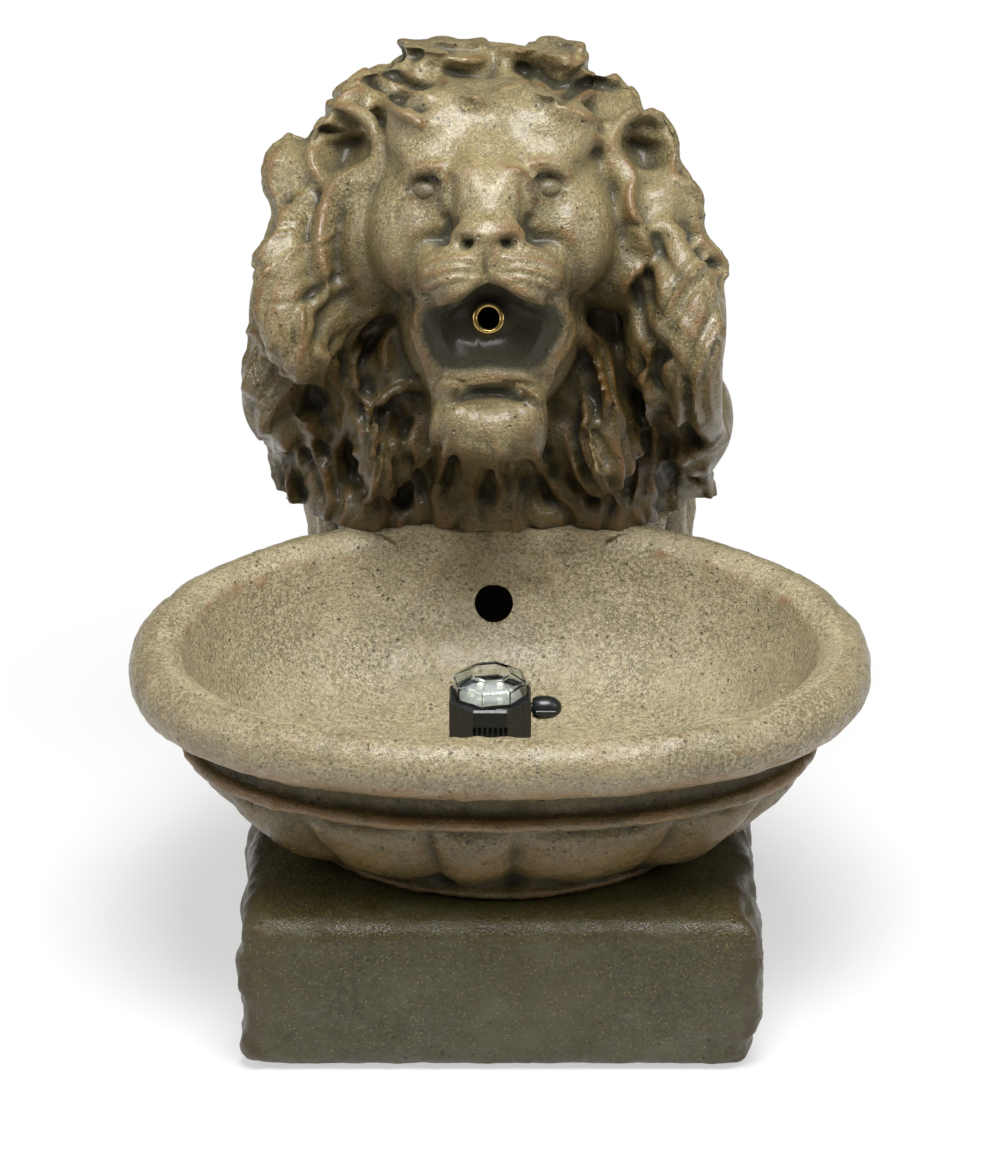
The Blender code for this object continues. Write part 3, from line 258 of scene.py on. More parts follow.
# Chisel lines: points (x, u), radius, lift (below nought it cuts)
LINES = [
    ([(-2, -41), (-2, -50), (-1, -59)], 2.6, -4.0), ([(-53, -3), (-45, 6), (-34, 8.5), (-24, 7)], 4.6, 4.6),
    ([(22, 8), (32, 10.5), (43, 8), (51, -1)], 4.6, 4.6),
    ([(-51, -6), (-46, 1), (-39, 4.5), (-31, 4), (-26, -2)], 2.4, 2.6),
    ([(-48, -3), (-43, 2), (-36, 3), (-30, 0)], 1.7, -4.5),
    ([(49, -4), (44, 3), (37, 6.5), (29, 5), (25, -1)], 2.4, 2.6),
    ([(46, -2), (41, 4), (34, 4.5), (28, 1)], 1.7, -4.5),
    ([(-49, -9), (-44, -13), (-36, -14.5), (-29, -12)], 2.4, 3.0),
    ([(47, -7), (42, -11.5), (35, -13), (27, -11)], 2.4, 3.0),
    ([(-28, -15), (-26, -6), (-23, 2), (-15, 6)], 3.4, 5.0),
    ([(27, -14), (24, -5), (21, 3), (14, 7)], 3.4, 5.0), ([(-28, -19), (-25, -27), (-30, -37)], 5.0, -4.6),
    ([(28, -19), (25, -27), (30, -37)], 5.0, -4.6), ([(-17, -2), (-18, -14), (-21, -22)], 3.2, 1.6),
    ([(17, -2), (18, -14), (21, -22)], 3.2, 1.6),
    ([(-25, -22), (-14, -21), (0, -23), (14, -22), (23, -24)], 3.6, 1.2),
    ([(-22, -33), (-15, -36), (-10, -37)], 4.8, -12.0), ([(20, -34), (13, -36), (8, -38)], 4.8, -12.0),
    ([(-1, -25), (-1, -33), (-1, -39)], 2.0, -1.4), ([(-26, -30), (-24, -38), (-14, -43)], 2.6, -2.2),
    ([(25, -31), (22, -39), (12, -43)], 2.6, -2.2), ([(0, 34), (0, 20), (0, 8)], 6.0, -2.0),
    ([(-7, -44), (-18, -41), (-30, -42), (-39, -46)], 1.9, -2.2),
    ([(-7, -49), (-18, -47), (-31, -49), (-41, -53)], 1.9, -2.4),
    ([(-8, -54), (-19, -53), (-31, -56), (-41, -61)], 1.9, -2.4),
    ([(-10, -59), (-20, -60), (-31, -63), (-39, -68)], 1.9, -2.2),
    ([(7, -44), (18, -41), (30, -42), (40, -46)], 1.9, -2.2),
    ([(7, -49), (18, -47), (31, -49), (43, -53)], 1.9, -2.4),
    ([(8, -54), (19, -53), (32, -56), (43, -61)], 1.9, -2.4),
    ([(10, -59), (20, -60), (32, -63), (41, -68)], 1.9, -2.2),
    ([(0, -55), (-10, -59), (-18, -65), (-28, -70), (-38, -73), (-43, -82), (-41, -94), (-37, -104),
      (-33, -113)], 3.4, 3.2),
    ([(0, -55), (10, -58), (20, -64), (30, -69), (41, -73), (47, -83), (45, -94), (39, -104),
      (34, -113)], 3.4, 3.2),
    ([(-34, -125), (-24, -118), (-10, -115), (5, -114), (20, -116), (34, -126)], 4.6, 5.0),
    ([(-27, -33), (-39, -34), (-47, -43), (-51, -55), (-50, -67), (-47, -76)], 4.4, -3.8),
    ([(27, -33), (40, -34), (50, -43), (54, -55), (53, -67), (51, -76)], 4.4, -3.8),
    ([(-62, -14), (-56, -30), (-54, -46)], 8.0, -2.5), ([(64, -14), (60, -30), (58, -46)], 8.0, -2.5),
    ([(-145, -72), (-130, -73), (-114, -71)], 1.3, -1.6),
    ([(-150, -93), (-140, -93), (-134, -103), (-120, -115)], 3.0, 1.6),
    ([(-24, -112), (-27, -113)], 3.0, 3.2), ([(22, -109), (25, -110)], 3.0, 3.2),
    ([(-30, -134), (-12, -126), (4, -125), (18, -127), (32, -135)], 3.6, -4.5),
]

# Strands that stand up from the mane, with a groove on either side: points (x, u)
STRANDS = [
    [(-69, -86), (-80, -98), (-83, -113), (-77, -131), (-70, -149), (-72, -167), (-76, -183)],
    [(-41, -122), (-58, -125), (-69, -137), (-66, -158), (-69, -177), (-73, -192)],
    [(-25, -158), (-30, -171), (-34, -192)], [(29, -163), (37, -177), (48, -196)],
    [(56, -116), (60, -140), (58, -153), (66, -174), (75, -190)],
    [(60, -95), (68, -113), (72, -131), (68, -144)],
    [(136, -46), (117, -64), (108, -83), (98, -107), (97, -131), (104, -155)],
    [(-110, -155), (-101, -174), (-97, -192)], [(-129, -164), (-123, -180), (-120, -192)],
    [(-134, -50), (-142, -66), (-146, -84)], [(88, -150), (92, -170), (88, -192)],
    [(146, -76), (134, -98), (126, -122), (128, -144)], [(2, -168), (8, -182), (6, -196)],
    [(-86, 30), (-100, 34), (-112, 26)], [(112, 34), (124, 22), (128, 6)],
    [(-54, 72), (-46, 88), (-30, 92), (-18, 84)], [(22, 82), (36, 92), (52, 90), (60, 78)],
    [(-70, 66), (-58, 56), (-48, 50), (-36, 50)], [(64, 64), (76, 60), (90, 58)],
]

EYES = [(-38.0, -4.5), (36.0, -3.0)]

# Stones: tone and coat
STONES = {
    "cast_stone": ((0.96, 0.98, 1.06), 0.10),
    "carved_stone": ((0.62, 0.60, 0.50), 0.22),
    # The hewn block's low tone is partly its own darker stone and partly painted shade, for the block lies in
    # shade under the bowl.
    "hewn_stone": ((0.165, 0.165, 0.075), 0.0),
}

# Plain materials: colour, roughness, metallic, the colour's spread, the flecks' scale, bump, coat
PLAIN = {
    "brass": ((0.62, 0.43, 0.16), 0.24, 1.0, 0.10, 220),
    "black_plastic": ((0.010, 0.012, 0.011), 0.30, 0.0, 0.25, 500, 0.00003),
    "rubber": ((0.020, 0.020, 0.019), 0.75, 0.0, 0.2, 600),
    "hose_plastic": ((0.52, 0.55, 0.52), 0.28, 0.0, 0.08, 160),
    "steel": ((0.56, 0.56, 0.55), 0.28, 1.0, 0.08, 400),
    "board_pale": ((0.34, 0.35, 0.33), 0.45, 0.0, 0.08, 350),
    "filter_foam": ((0.016, 0.017, 0.016), 0.95, 0.0, 0.5, 900, 0.0006),
    "ceramic": ((0.70, 0.69, 0.65), 0.35, 0.0, 0.06, 400),
    "magnet": ((0.050, 0.050, 0.054), 0.45, 0.3, 0.2, 700),
    "lamp_lens": ((0.82, 0.82, 0.72), 0.16, 0.0, 0.05, 500, 0.00001, 0.4),
}

# What each node wears; those that aren't named here are black plastic
WORN = {
    "basin": "cast_stone", "lion_head": "cast_stone", "base_block": "hewn_stone", "spout_tube": "brass",
    "spout_nut": "brass", "spout_grommet": "rubber", "lens_seal": "rubber", "riser_hose": "hose_plastic",
    "hose_clamp": "steel", "rotor_shaft": "steel", "light_board": "board_pale", "front_bush": "ceramic",
    "rear_bush": "ceramic", "filter_foam": "filter_foam", "rotor_magnet": "magnet",
    "lens_cap": "clear_plastic", **{f"lamp_{number}": "lamp_lens" for number in range(1, 7)},
}


def take(piece):
    """Makes this piece the only one that is chosen."""
    bpy.ops.object.select_all(action="DESELECT")
    piece.select_set(True)
    bpy.context.view_layer.objects.active = piece


def new_piece(name, bm):
    mesh = bpy.data.meshes.new(name)
    bm.to_mesh(mesh)
    bm.free()
    piece = bpy.data.objects.new(name, mesh)
    bpy.context.scene.collection.objects.link(piece)
    return piece


def named(name):
    piece = bpy.context.active_object
    piece.name = name
    piece.data.name = name
    return piece


def edit_all():
    """Opens the active piece for editing, with all of it chosen."""
    bpy.ops.object.mode_set(mode="EDIT")
    bpy.ops.mesh.select_all(action="SELECT")


def settle_in_place(piece):
    """Puts the piece's own place and size into its mesh."""
    take(piece)
    bpy.ops.object.transform_apply(location=True, rotation=True, scale=True)


def apply_steps(piece):
    take(piece)
    for step in list(piece.modifiers):
        bpy.ops.object.modifier_apply(modifier=step.name)


def one_skin(piece, size):
    step = piece.modifiers.new("one_skin", "REMESH")
    step.mode = "VOXEL"
    step.voxel_size = size
    apply_steps(piece)


def cut_away(piece, tool, operation="DIFFERENCE"):
    step = piece.modifiers.new(tool.name, "BOOLEAN")
    step.operation = operation
    step.solver = "MANIFOLD"
    step.object = tool
    apply_steps(piece)
    bpy.data.objects.remove(tool)


def drop_crumbs(piece):
    """Deletes the loose bits that the cuts left, and keeps the largest part."""
    bm = bmesh.new()
    bm.from_mesh(piece.data)
    left, parts = set(bm.verts), []
    while left:
        front = {left.pop()}
        part = set(front)
        while front:
            front = {edge.other_vert(v) for v in front for edge in v.link_edges} & left
            left -= front
            part |= front
        parts.append(part)
    parts.sort(key=len)
    bmesh.ops.delete(bm, geom=[v for part in parts[:-1] for v in part], context="VERTS")
    bm.to_mesh(piece.data)
    bm.free()


def smooth_up_to(piece, degrees):
    piece.data.shade_smooth()
    piece.data.set_sharp_from_angle(angle=math.radians(degrees))


def block_tool(name, low, high):
    bpy.ops.mesh.primitive_cube_add(size=1)
    tool = named(name)
    tool.location = (Vector(low) + Vector(high)) / 2
    tool.scale = Vector(high) - Vector(low)
    settle_in_place(tool)
    return tool


def rod_tool(name, radius, low, high, place, steps=64):
    bpy.ops.mesh.primitive_cylinder_add(vertices=steps, radius=radius, depth=high - low)
    tool = named(name)
    tool.matrix_world = place @ Matrix.Translation((0, 0, (low + high) / 2))
    settle_in_place(tool)
    return tool


def turned(name, outline, place, steps=64, closed=True):
    """Spins an outline of (radius, height) round the local Z axis of place."""
    mesh = bpy.data.meshes.new(name)
    points = [(radius, 0, height) for radius, height in outline]
    count = len(points)
    mesh.from_pydata(points, [(i, (i + 1) % count) for i in range(count if closed else count - 1)], [])
    piece = bpy.data.objects.new(name, mesh)
    bpy.context.scene.collection.objects.link(piece)
    take(piece)
    edit_all()
    bpy.ops.mesh.spin(steps=steps, angle=2 * math.pi, center=(0, 0, 0), axis=(0, 0, 1))
    bpy.ops.mesh.select_all(action="SELECT")
    bpy.ops.mesh.remove_doubles(threshold=0.00001)
    bpy.ops.mesh.normals_make_consistent(inside=False)
    bpy.ops.object.mode_set(mode="OBJECT")
    piece.matrix_world = place
    settle_in_place(piece)
    smooth_up_to(piece, 40)
    return piece


def curve_through(points, steps=4):
    """A smooth curve through points of any length."""
    rows = [np.array(p, float) for p in points]
    rows = [2 * rows[0] - rows[1]] + rows + [2 * rows[-1] - rows[-2]]
    made = []
    for a, b, c, d in zip(rows, rows[1:], rows[2:], rows[3:]):
        for k in range(steps):
            t = k / steps
            made.append(0.5 * (2 * b + (c - a) * t + (2 * a - 5 * b + 4 * c - d) * t * t
                               + (3 * b - a - 3 * c + d) * t ** 3))
    made.append(rows[-2])
    return made


def face_point(x, u, w):
    """Millimetres across the face, up it and out of it, as seen from the front, to metres.

    Above the brow the height is squeezed, so that the crest stays under the top.
    """
    spread = (EYE_W - w) / EYE_W
    u = min(u, CREST_U) + max(u - CREST_U, 0) * CREST_SQUEEZE
    return FACE @ Vector((x * spread, (u - EYE_U) * spread + EYE_U, w))


def roll_of_clay(bm, path, radii, sides=10, flat=0.8):
    """A tapered roll along the path, a little flattened, closed at both ends."""
    rows = []
    for i, p in enumerate(path):
        ahead = (path[min(i + 1, len(path) - 1)] - path[max(i - 1, 0)]).normalized()
        side = ahead.cross(OUT).normalized()
        up = side.cross(ahead)
        turn = [2 * math.pi * k / sides for k in range(sides)]
        rows.append([bm.verts.new(p + side * (radii[i] * math.cos(t)) + up * (radii[i] * flat * math.sin(t)))
                     for t in turn])
    ends = [path[0] + (path[0] - path[1]).normalized() * radii[0] * 0.8,
            path[-1] + (path[-1] - path[-2]).normalized() * radii[-1] * 0.8]
    first, last = bm.verts.new(ends[0]), bm.verts.new(ends[1])
    for low, high in zip(rows[:-1], rows[1:]):
        for k in range(sides):
            bm.faces.new((low[k], low[(k + 1) % sides], high[(k + 1) % sides], high[k]))
    for k in range(sides):
        bm.faces.new((first, rows[0][(k + 1) % sides], rows[0][k]))
        bm.faces.new((last, rows[-1][k], rows[-1][(k + 1) % sides]))


def lump(bm, middle, half):
    place = Matrix.Translation(middle) @ Matrix.Diagonal((*half, 1))
    made = bmesh.ops.create_icosphere(bm, subdivisions=4, radius=1, matrix=place)
    for v in made["verts"]:
        v.co = face_point(*v.co)


def reach_finder(tree):
    """How far out the clay reaches at a place on the face, in the face's millimetres."""
    def find(x, u):
        for _ in range(60):
            start = face_point(x, u, 250)
            spot = tree.ray_cast(start, face_point(x, u, -300) - start)[0]
            if spot is not None:
                return x, u, (spot - HEAD_AT).dot(OUT) * 1000
            x, u = x * 0.985, -60 + (u + 60) * 0.985
        return x, u, -150
    return find


def pile_of_clay():
    bm = bmesh.new()
    for middle, half in MASSES:
        lump(bm, middle, half)
    find = reach_finder(BVHTree.FromBMesh(bm))
    for x, height, half_x, half_y, half_z in BACK_MASSES:
        place = Matrix.Translation((x, BACK_Y, height)) @ Matrix.Diagonal((half_x, half_y, half_z, 1))
        bmesh.ops.create_icosphere(bm, subdivisions=4, radius=1, matrix=place)
    for points in LOCKS:
        on_masses = []
        for x, u, lift, radius in points:
            on_masses.append((x, u, find(x, u)[2] + lift, radius))
        path, radii = [], []
        for x, u, w, radius in curve_through(on_masses, 4):
            path.append(face_point(x, u, w))
            radii.append(radius * 0.001)
        roll_of_clay(bm, path, radii)
    for x, u, half_x, half_u, side in EARS:
        path, radii = [], []
        for degrees in range(-76, 250, 14):
            a = math.radians(degrees)
            path.append(face_point(x + side * half_x * 0.84 * math.cos(a), u + half_u * 0.84 * math.sin(a),
                                   -74 - 12 * math.cos(a) - 6 * math.sin(a)))
            radii.append(0.0052)
        roll_of_clay(bm, path, radii, flat=1.7)
        lump(bm, (x, u, -104), (half_x * 0.92, half_u * 0.92, 24))
        lump(bm, (x - side * half_x * 0.55, u - 3, -84), (7, 10, 12))
    return bm


class Clay:
    """The vertices of a piece as rows of numbers, with tools that push and cut them."""

    def __init__(self, piece):
        self.piece = piece
        mesh = piece.data
        count = len(mesh.vertices)
        flat = np.empty(count * 3, np.float64)
        mesh.vertices.foreach_get("co", flat)
        self.co = flat.reshape(-1, 3)
        pairs = np.empty(len(mesh.edges) * 2, np.int64)
        mesh.edges.foreach_get("vertices", pairs)
        self.a, self.b = pairs[0::2], pairs[1::2]
        self.links = np.bincount(self.a, minlength=count) + np.bincount(self.b, minlength=count)
        self.settle()

    def put_back(self):
        self.piece.data.vertices.foreach_set("co", self.co.ravel())
        self.piece.data.update()

    def settle(self):
        """Works out normals and the way to the surface again after changes."""
        self.put_back()
        mesh = self.piece.data
        flat = np.empty(len(self.co) * 3, np.float32)
        mesh.vertex_normals.foreach_get("vector", flat)
        self.normal = flat.reshape(-1, 3).astype(np.float64)
        for _ in range(3):
            self.normal = self.average(self.normal)
        self.normal /= np.maximum(np.linalg.norm(self.normal, axis=1), 1e-9)[:, None]
        bm = bmesh.new()
        bm.from_mesh(mesh)
        self.find = reach_finder(BVHTree.FromBMesh(bm))
        bm.free()

    def average(self, rows):
        out = np.empty_like(rows)
        for axis in range(rows.shape[1]):
            column = rows[:, axis]
            total = (np.bincount(self.a, column[self.b], len(column))
                     + np.bincount(self.b, column[self.a], len(column)))
            out[:, axis] = 0.4 * column + 0.6 * total / np.maximum(self.links, 1)
        return out

    def keep_in_box(self):
        """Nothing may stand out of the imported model's own box."""
        self.co = np.clip(self.co, np.array(CAD_BOX[0]), np.array(CAD_BOX[1]))

    def relax(self, times):
        for _ in range(times):
            self.co = self.average(self.co)

    def soften_face(self, times):
        """Runs the lumps of the face together, and leaves the mane's locks."""
        rel = (self.co - np.array(HEAD_AT)) * 1000
        x, u, w = rel[:, 0] / WIDER, rel @ np.array(UP) / TALLER, rel @ np.array(OUT)
        inside = 1 - ((x / 76) ** 2 + ((u + 42) / 92) ** 2)
        share = np.clip(inside * 4, 0, 1) * np.clip((w + 66) / 14, 0, 1)
        keep = np.maximum(np.exp(-(((np.abs(x) - 12) / 16) ** 2 + ((u + 34) / 22) ** 2)), 0) * 0.55
        share = (share * (1 - keep))[:, None]
        for _ in range(times):
            self.co = self.co * (1 - share) + self.average(self.co) * share

    def line_on_surface(self, points, steps=5):
        line = []
        for x, u in curve_through(points, steps):
            sx, su, w = self.find(x, u)
            line.append(face_point(sx, su, w))
        return np.array(line)

    def press(self, line, radius, lift, way=None, power=2.0):
        """Moves what is near the line: lift in millimetres, outwards or, below nought, inwards."""
        radius *= 0.001
        low, high = line.min(0) - radius * 2.2, line.max(0) + radius * 2.2
        near = np.nonzero(np.all((self.co > low) & (self.co < high), axis=1))[0]
        if len(near) == 0:
            return
        p = self.co[near]
        best = np.full(len(near), 1e9)
        share = np.zeros(len(near))
        count = len(line) - 1
        for i in range(count):
            a, d = line[i], line[i + 1] - line[i]
            t = np.clip(((p - a) @ d) / max(d @ d, 1e-12), 0, 1)
            gap = np.linalg.norm(p - a - t[:, None] * d, axis=1)
            closer = gap < best
            best[closer] = gap[closer]
            share[closer] = (i + t[closer]) / count
        fall = np.exp(-(best / radius) ** power * 1.4)
        taper = np.clip(np.minimum(share, 1 - share) * 5 + 0.35, 0, 1)
        direction = self.normal[near] if way is None else np.array(way)
        self.co[near] += direction * (fall * taper * lift * 0.001)[:, None]

    def roughen(self, amount, scale, where=None):
        """Uneven by a slow noise, amount and the noise's spacing in metres."""
        lift = np.array([noise.noise(Vector(p) / scale) for p in self.co]) * amount
        if where is not None:
            lift = lift * where
        self.co += self.normal * lift[:, None]

    def mark_relief(self, near_steps, far_steps):
        """Stores how much each point stands out (edge), for the stone's worn colour, and how far it lies
        below its surroundings (hollow), for the painted shade in recesses.
        """
        for name, steps, scale, sign in (("edge", near_steps, 0.0009, 1), ("hollow", far_steps, 0.0052, -1)):
            soft = self.co.copy()
            for _ in range(steps):
                soft = self.average(soft)
            height = ((self.co - soft) * self.normal).sum(1) * sign / scale
            height = self.average(self.average(height[:, None]))[:, 0]
            height[self.co[:, 1] > BACK_Y - 0.0006] = 0
            self.mark(name, height)

    def mark(self, name, amount):
        layers = self.piece.data.attributes
        layer = layers.get(name) or layers.new(name, "FLOAT", "POINT")
        layer.data.foreach_set("value", np.clip(amount, 0, 1).astype(np.float32))

    def marked(self, name):
        now = np.empty(len(self.co), np.float32)
        self.piece.data.attributes[name].data.foreach_get("value", now)
        return now


# Lion's head
def hair_lines(rng, spread, steps):
    """Wavering lines that follow the mane outwards and down, spread evenly over it."""
    made = []
    for row in range(int(284 / spread)):
        for column in range(int(296 / spread)):
            x = -148 + (column + rng.uniform(0.1, 0.9)) * spread
            u = -194 + (row + rng.uniform(0.1, 0.9)) * spread
            if (x / 78) ** 2 + ((u + 50) / 100) ** 2 < 1 or on_an_ear(x, u) or on_a_smooth_lock(x, u):
                continue
            points = [(x, u)]
            phase = abs(x) / 13 - u / 19 + rng.uniform(-0.5, 0.5)
            for k in range(steps):
                way = flow_at(x, u)
                side = np.array([-way[1], way[0]])
                way = way + side * 0.5 * math.sin(phase + k * 0.75)
                x, u = x + way[0] * 6, u + way[1] * 6
                points.append((x, u))
            if not any(on_an_ear(px, pu) for px, pu in points):
                made.append(points)
    return made


def comb(clay, rng, spread, steps, fine, radii, lifts, sign):
    """Raises (sign 1) or cuts (sign -1) hair lines all over the mane."""
    for points in hair_lines(rng, spread, steps):
        clay.press(clay.line_on_surface(points, fine), rng.uniform(*radii), sign * rng.uniform(*lifts))


def flow_at(x, u):
    """Which way the hair lies: outwards over the crown, and down beside and below the face."""
    away = np.array([x, u + 52.0])
    away /= max(np.linalg.norm(away), 1e-6)
    drop = 0.25 + 0.9 * min(1.0, max(0.0, (20 - u) / 120))
    way = away * (1.0 - 0.45 * min(drop, 1.0)) + np.array([0.0, -drop])
    if u > 44:
        way = np.array([math.copysign(1.0, x - 2), 0.45 * math.cos(x / 9)])
    return way / np.linalg.norm(way)


def on_a_smooth_lock(x, u):
    return (abs(x) > 104 and -70 < u < -36) or (104 < x < 138 and -112 < u < -84)


def on_an_ear(x, u):
    return any(((x - ex) / (hx + 6)) ** 2 + ((u - eu) / (hu + 6)) ** 2 < 1 for ex, eu, hx, hu, side in EARS)


def lock_grain(points, offset):
    """A line beside a lock's own, offset being a share of its radius."""
    made = []
    rows = curve_through([(p[0], p[1], p[3]) for p in points], 2)
    for i, row in enumerate(rows):
        ahead = rows[min(i + 1, len(rows) - 1)][:2] - rows[max(i - 1, 0)][:2]
        ahead = ahead / max(np.linalg.norm(ahead), 1e-9)
        side = np.array([-ahead[1], ahead[0]])
        spot = row[:2] + side * row[2] * offset
        made.append((spot[0], spot[1]))
    return made


def carve(head):
    clay = Clay(head)
    clay.relax(5)
    clay.soften_face(16)
    clay.settle()
    for points, radius, depth in HOLLOWS:
        clay.press(clay.line_on_surface(points), radius, -depth, way=OUT, power=2.4)
    for x, u in EYES:
        spot = clay.line_on_surface([(x - 5, u), (x + 5, u)])
        clay.press(spot, SOCKET_R, -SOCKET_DEPTH, way=OUT, power=2.4)
    for x, u, half_x, half_u, side in EARS:
        spot = clay.line_on_surface([(x, u - half_u * 0.35), (x - side * 2, u), (x, u + half_u * 0.35)])
        clay.press(spot, EAR_R, -EAR_DEPTH, way=OUT, power=3.4)
    clay.put_back()


def chisel(head):
    clay = Clay(head)
    clay.relax(2)
    clay.settle()
    for points, radius, lift in LINES:
        clay.press(clay.line_on_surface(points), radius, lift)
    for points in STRANDS:
        own = [(x, u, 0, STRAND_HALF) for x, u in points]
        for side in (-1, 1):
            clay.press(clay.line_on_surface(lock_grain(own, side)), GROOVE_R, -GROOVE_DEPTH)
        clay.press(clay.line_on_surface(points), RIDGE_R, RIDGE_LIFT)
    rng = np.random.default_rng(7)
    for points in LOCKS:
        wide = max(p[3] for p in points)
        count = 1 if wide < 12 else 3
        if wide < 12:
            clay.press(clay.line_on_surface([(p[0], p[1]) for p in points], 4), 2.6, 1.9)
        if wide < 5.2:
            continue
        for k in range(count):
            offset = (k + 0.5) / count * 1.3 - 0.65 + rng.uniform(-0.25, 0.25)
            clay.press(clay.line_on_surface(lock_grain(points, offset), 2), 1.9 if wide < 12 else 3.6,
                       -rng.uniform(0.7, 1.4))
    clay.settle()
    comb(clay, rng, spread=25, steps=9, fine=3, radii=(3.6, 5.2), lifts=(2.0, 4.4), sign=-1)
    comb(clay, rng, spread=25, steps=8, fine=3, radii=(2.6, 3.4), lifts=(1.2, 2.4), sign=1)
    clay.settle()
    comb(clay, rng, spread=17, steps=6, fine=2, radii=(1.8, 2.4), lifts=(0.6, 1.4), sign=-1)
    clay.relax(1)
    clay.put_back()


def mouth_hollow():
    bm = bmesh.new()
    rows = []
    for w, share in ((70, 1.0), (8, 0.98), (-14, 0.93), (MOUTH_W + 4, 0.84), (MOUTH_W, 0.72)):
        drawn_in = [(MOUTH_X + (x - MOUTH_X) * share, MOUTH_U + (u - MOUTH_U) * share)
                    for x, u in MOUTH + MOUTH[:1]]
        rows.append([bm.verts.new(face_point(x, u, w)) for x, u in curve_through(drawn_in, 4)[:-1]])
    count = len(rows[0])
    for low, high in zip(rows[:-1], rows[1:]):
        for k in range(count):
            bm.faces.new((low[k], low[(k + 1) % count], high[(k + 1) % count], high[k]))
    bm.faces.new(rows[0])
    bm.faces.new(rows[-1])
    bmesh.ops.recalc_face_normals(bm, faces=bm.faces)
    return bm


def mouth_axis():
    """The spout's own axis: local Z comes out of the mouth."""
    turn = Matrix.Rotation(math.pi / 2 - TILT, 4, "X")
    return Matrix.Translation(FACE @ Vector((0, SPOUT_U * 1000, 0))) @ turn


def inside_outline(x, u, outline):
    """Which points lie inside a closed outline, by counting its sides to their right."""
    odd = np.zeros(len(x), bool)
    for (x0, u0), (x1, u1) in zip(outline, outline[1:] + outline[:1]):
        if u0 == u1:
            continue
        crosses = (u0 > u) != (u1 > u)
        odd ^= crosses & (x < x0 + (u - u0) * (x1 - x0) / (u1 - u0))
    return odd


def paint_shade_in_hollows(clay):
    """Paints shade: darkens the mouth's inside, the eyes, and the mane beside the jaw and at its foot, where
    shadow falls.
    """
    rel = (clay.co - np.array(HEAD_AT)) * 1000
    w = rel @ np.array(OUT)
    spread = (EYE_W - w) / EYE_W
    x = rel[:, 0] / WIDER / spread
    u = (rel @ np.array(UP) / TALLER - EYE_U) / spread + EYE_U
    in_mouth = np.zeros(len(w))
    for wider in (1.0, 1.03, 1.06, 1.09, 1.12):
        near_x, near_u = MOUTH_X + (x - MOUTH_X) / wider, MOUTH_U + (u - MOUTH_U) / wider
        in_mouth += 0.2 * inside_outline(near_x, near_u, MOUTH)
    in_mouth *= w > MOUTH_W - 12
    for _ in range(4):
        in_mouth = clay.average(in_mouth[:, None])[:, 0]
    # Painted shade: the mouth's inside and the eyes are darkened as recesses in shadow.
    amount = in_mouth * np.clip((8 - w) / 30, 0, 0.66)
    for ex, eu in EYES:
        ball = ((x - ex) / 13) ** 2 + ((u - eu + 1) / 9) ** 2 < 1
        amount = np.maximum(amount, ball * (w > -60) * 0.32)
    # Painted shade: darker beside the jaw and towards the head's foot.
    painted_shade_by_jaw = 0.85 * np.exp(-((np.abs(x) - 74) / 36) ** 2) * np.clip((-12 - u) / 46, 0, 1)
    clay.mark("shade", painted_shade_by_jaw + 0.40 * np.clip((0.40 - clay.co[:, 2]) / 0.12, 0, 1))
    clay.mark("hollow", np.maximum(clay.marked("hollow"), amount))


def lion_sculpture():
    bm = pile_of_clay()
    bmesh.ops.recalc_face_normals(bm, faces=bm.faces)
    head = new_piece("lion_sculpture", bm)
    one_skin(head, COARSE)
    carve(head)
    one_skin(head, FINE)
    chisel(head)
    cut_away(head, block_tool("room", (-0.25, -0.2, SEAT_Z), (0.25, BACK_Y, TOP_Z)), "INTERSECT")
    cut_away(head, new_piece("mouth", mouth_hollow()))
    clay = Clay(head)
    for x, u in EYES:
        bm = bmesh.new()
        lump(bm, (x, u - 1, clay.find(x, u)[2] - EYE_SUNK), EYE_HALF)
        cut_away(head, new_piece("eye", bm), "UNION")
    axis = mouth_axis()
    cut_away(head, rod_tool("bore", SPOUT_TUBE_R + GAP, -0.2, 0.02, axis))
    cut_away(head, rod_tool("spot_face", SPOT_FACE_R, -0.3, SPOT_FACE_W, axis))
    cut_away(head, block_tool("pocket", (HEAD_AT.x - POCKET_HALF, POCKET_FRONT_Y, SEAT_Z - 0.05),
                              (HEAD_AT.x + POCKET_HALF, BACK_Y + 0.05, POCKET_TOP)))
    drop_crumbs(head)
    clay = Clay(head)
    clay.mark_relief(near_steps=8, far_steps=34)
    paint_shade_in_hollows(clay)
    smooth_up_to(head, 60)
    return head


# Basin
def lobe_angles():
    """Angles round the bowl, each with its place across a lobe, from one valley (0) to the next (1)."""
    made = []
    for first, last in zip(VALLEYS_DEG, VALLEYS_DEG[1:] + (VALLEYS_DEG[0] + 360,)):
        for k in range(STEPS_PER_LOBE):
            share = k / STEPS_PER_LOBE
            made.append((math.radians(first + (last - first) * share - 90), share))
    return made


def rim_plan(radius, angle, narrow=0.0):
    """A point on an oval drawn in from the rim: a full ellipse behind, a squarer one in front."""
    c, s = math.cos(angle), math.sin(angle)
    inset = HALF_WIDTH - radius
    reach = BOWL_BACK if s > 0 else BOWL_FRONT
    power = 1.0 if s > 0 else 0.88
    return (math.copysign(abs(c) ** power, c) * (HALF_WIDTH - inset - narrow),
            math.copysign(abs(s) ** power, s) * (reach - inset))


def inside_rows():
    """The bowl's inside from the floor up, as (radius, height)."""
    floor = [(0.018, 0.1276), (0.036, 0.1276), (0.060, 0.1280), (0.094, 0.1292)]
    wall = [(0.130, 0.1320), (0.151, 0.1420), (0.167, 0.1580), (0.179, 0.1780), (0.186, 0.1960)]
    return [tuple(p) for p in curve_through(floor + wall, 2)]


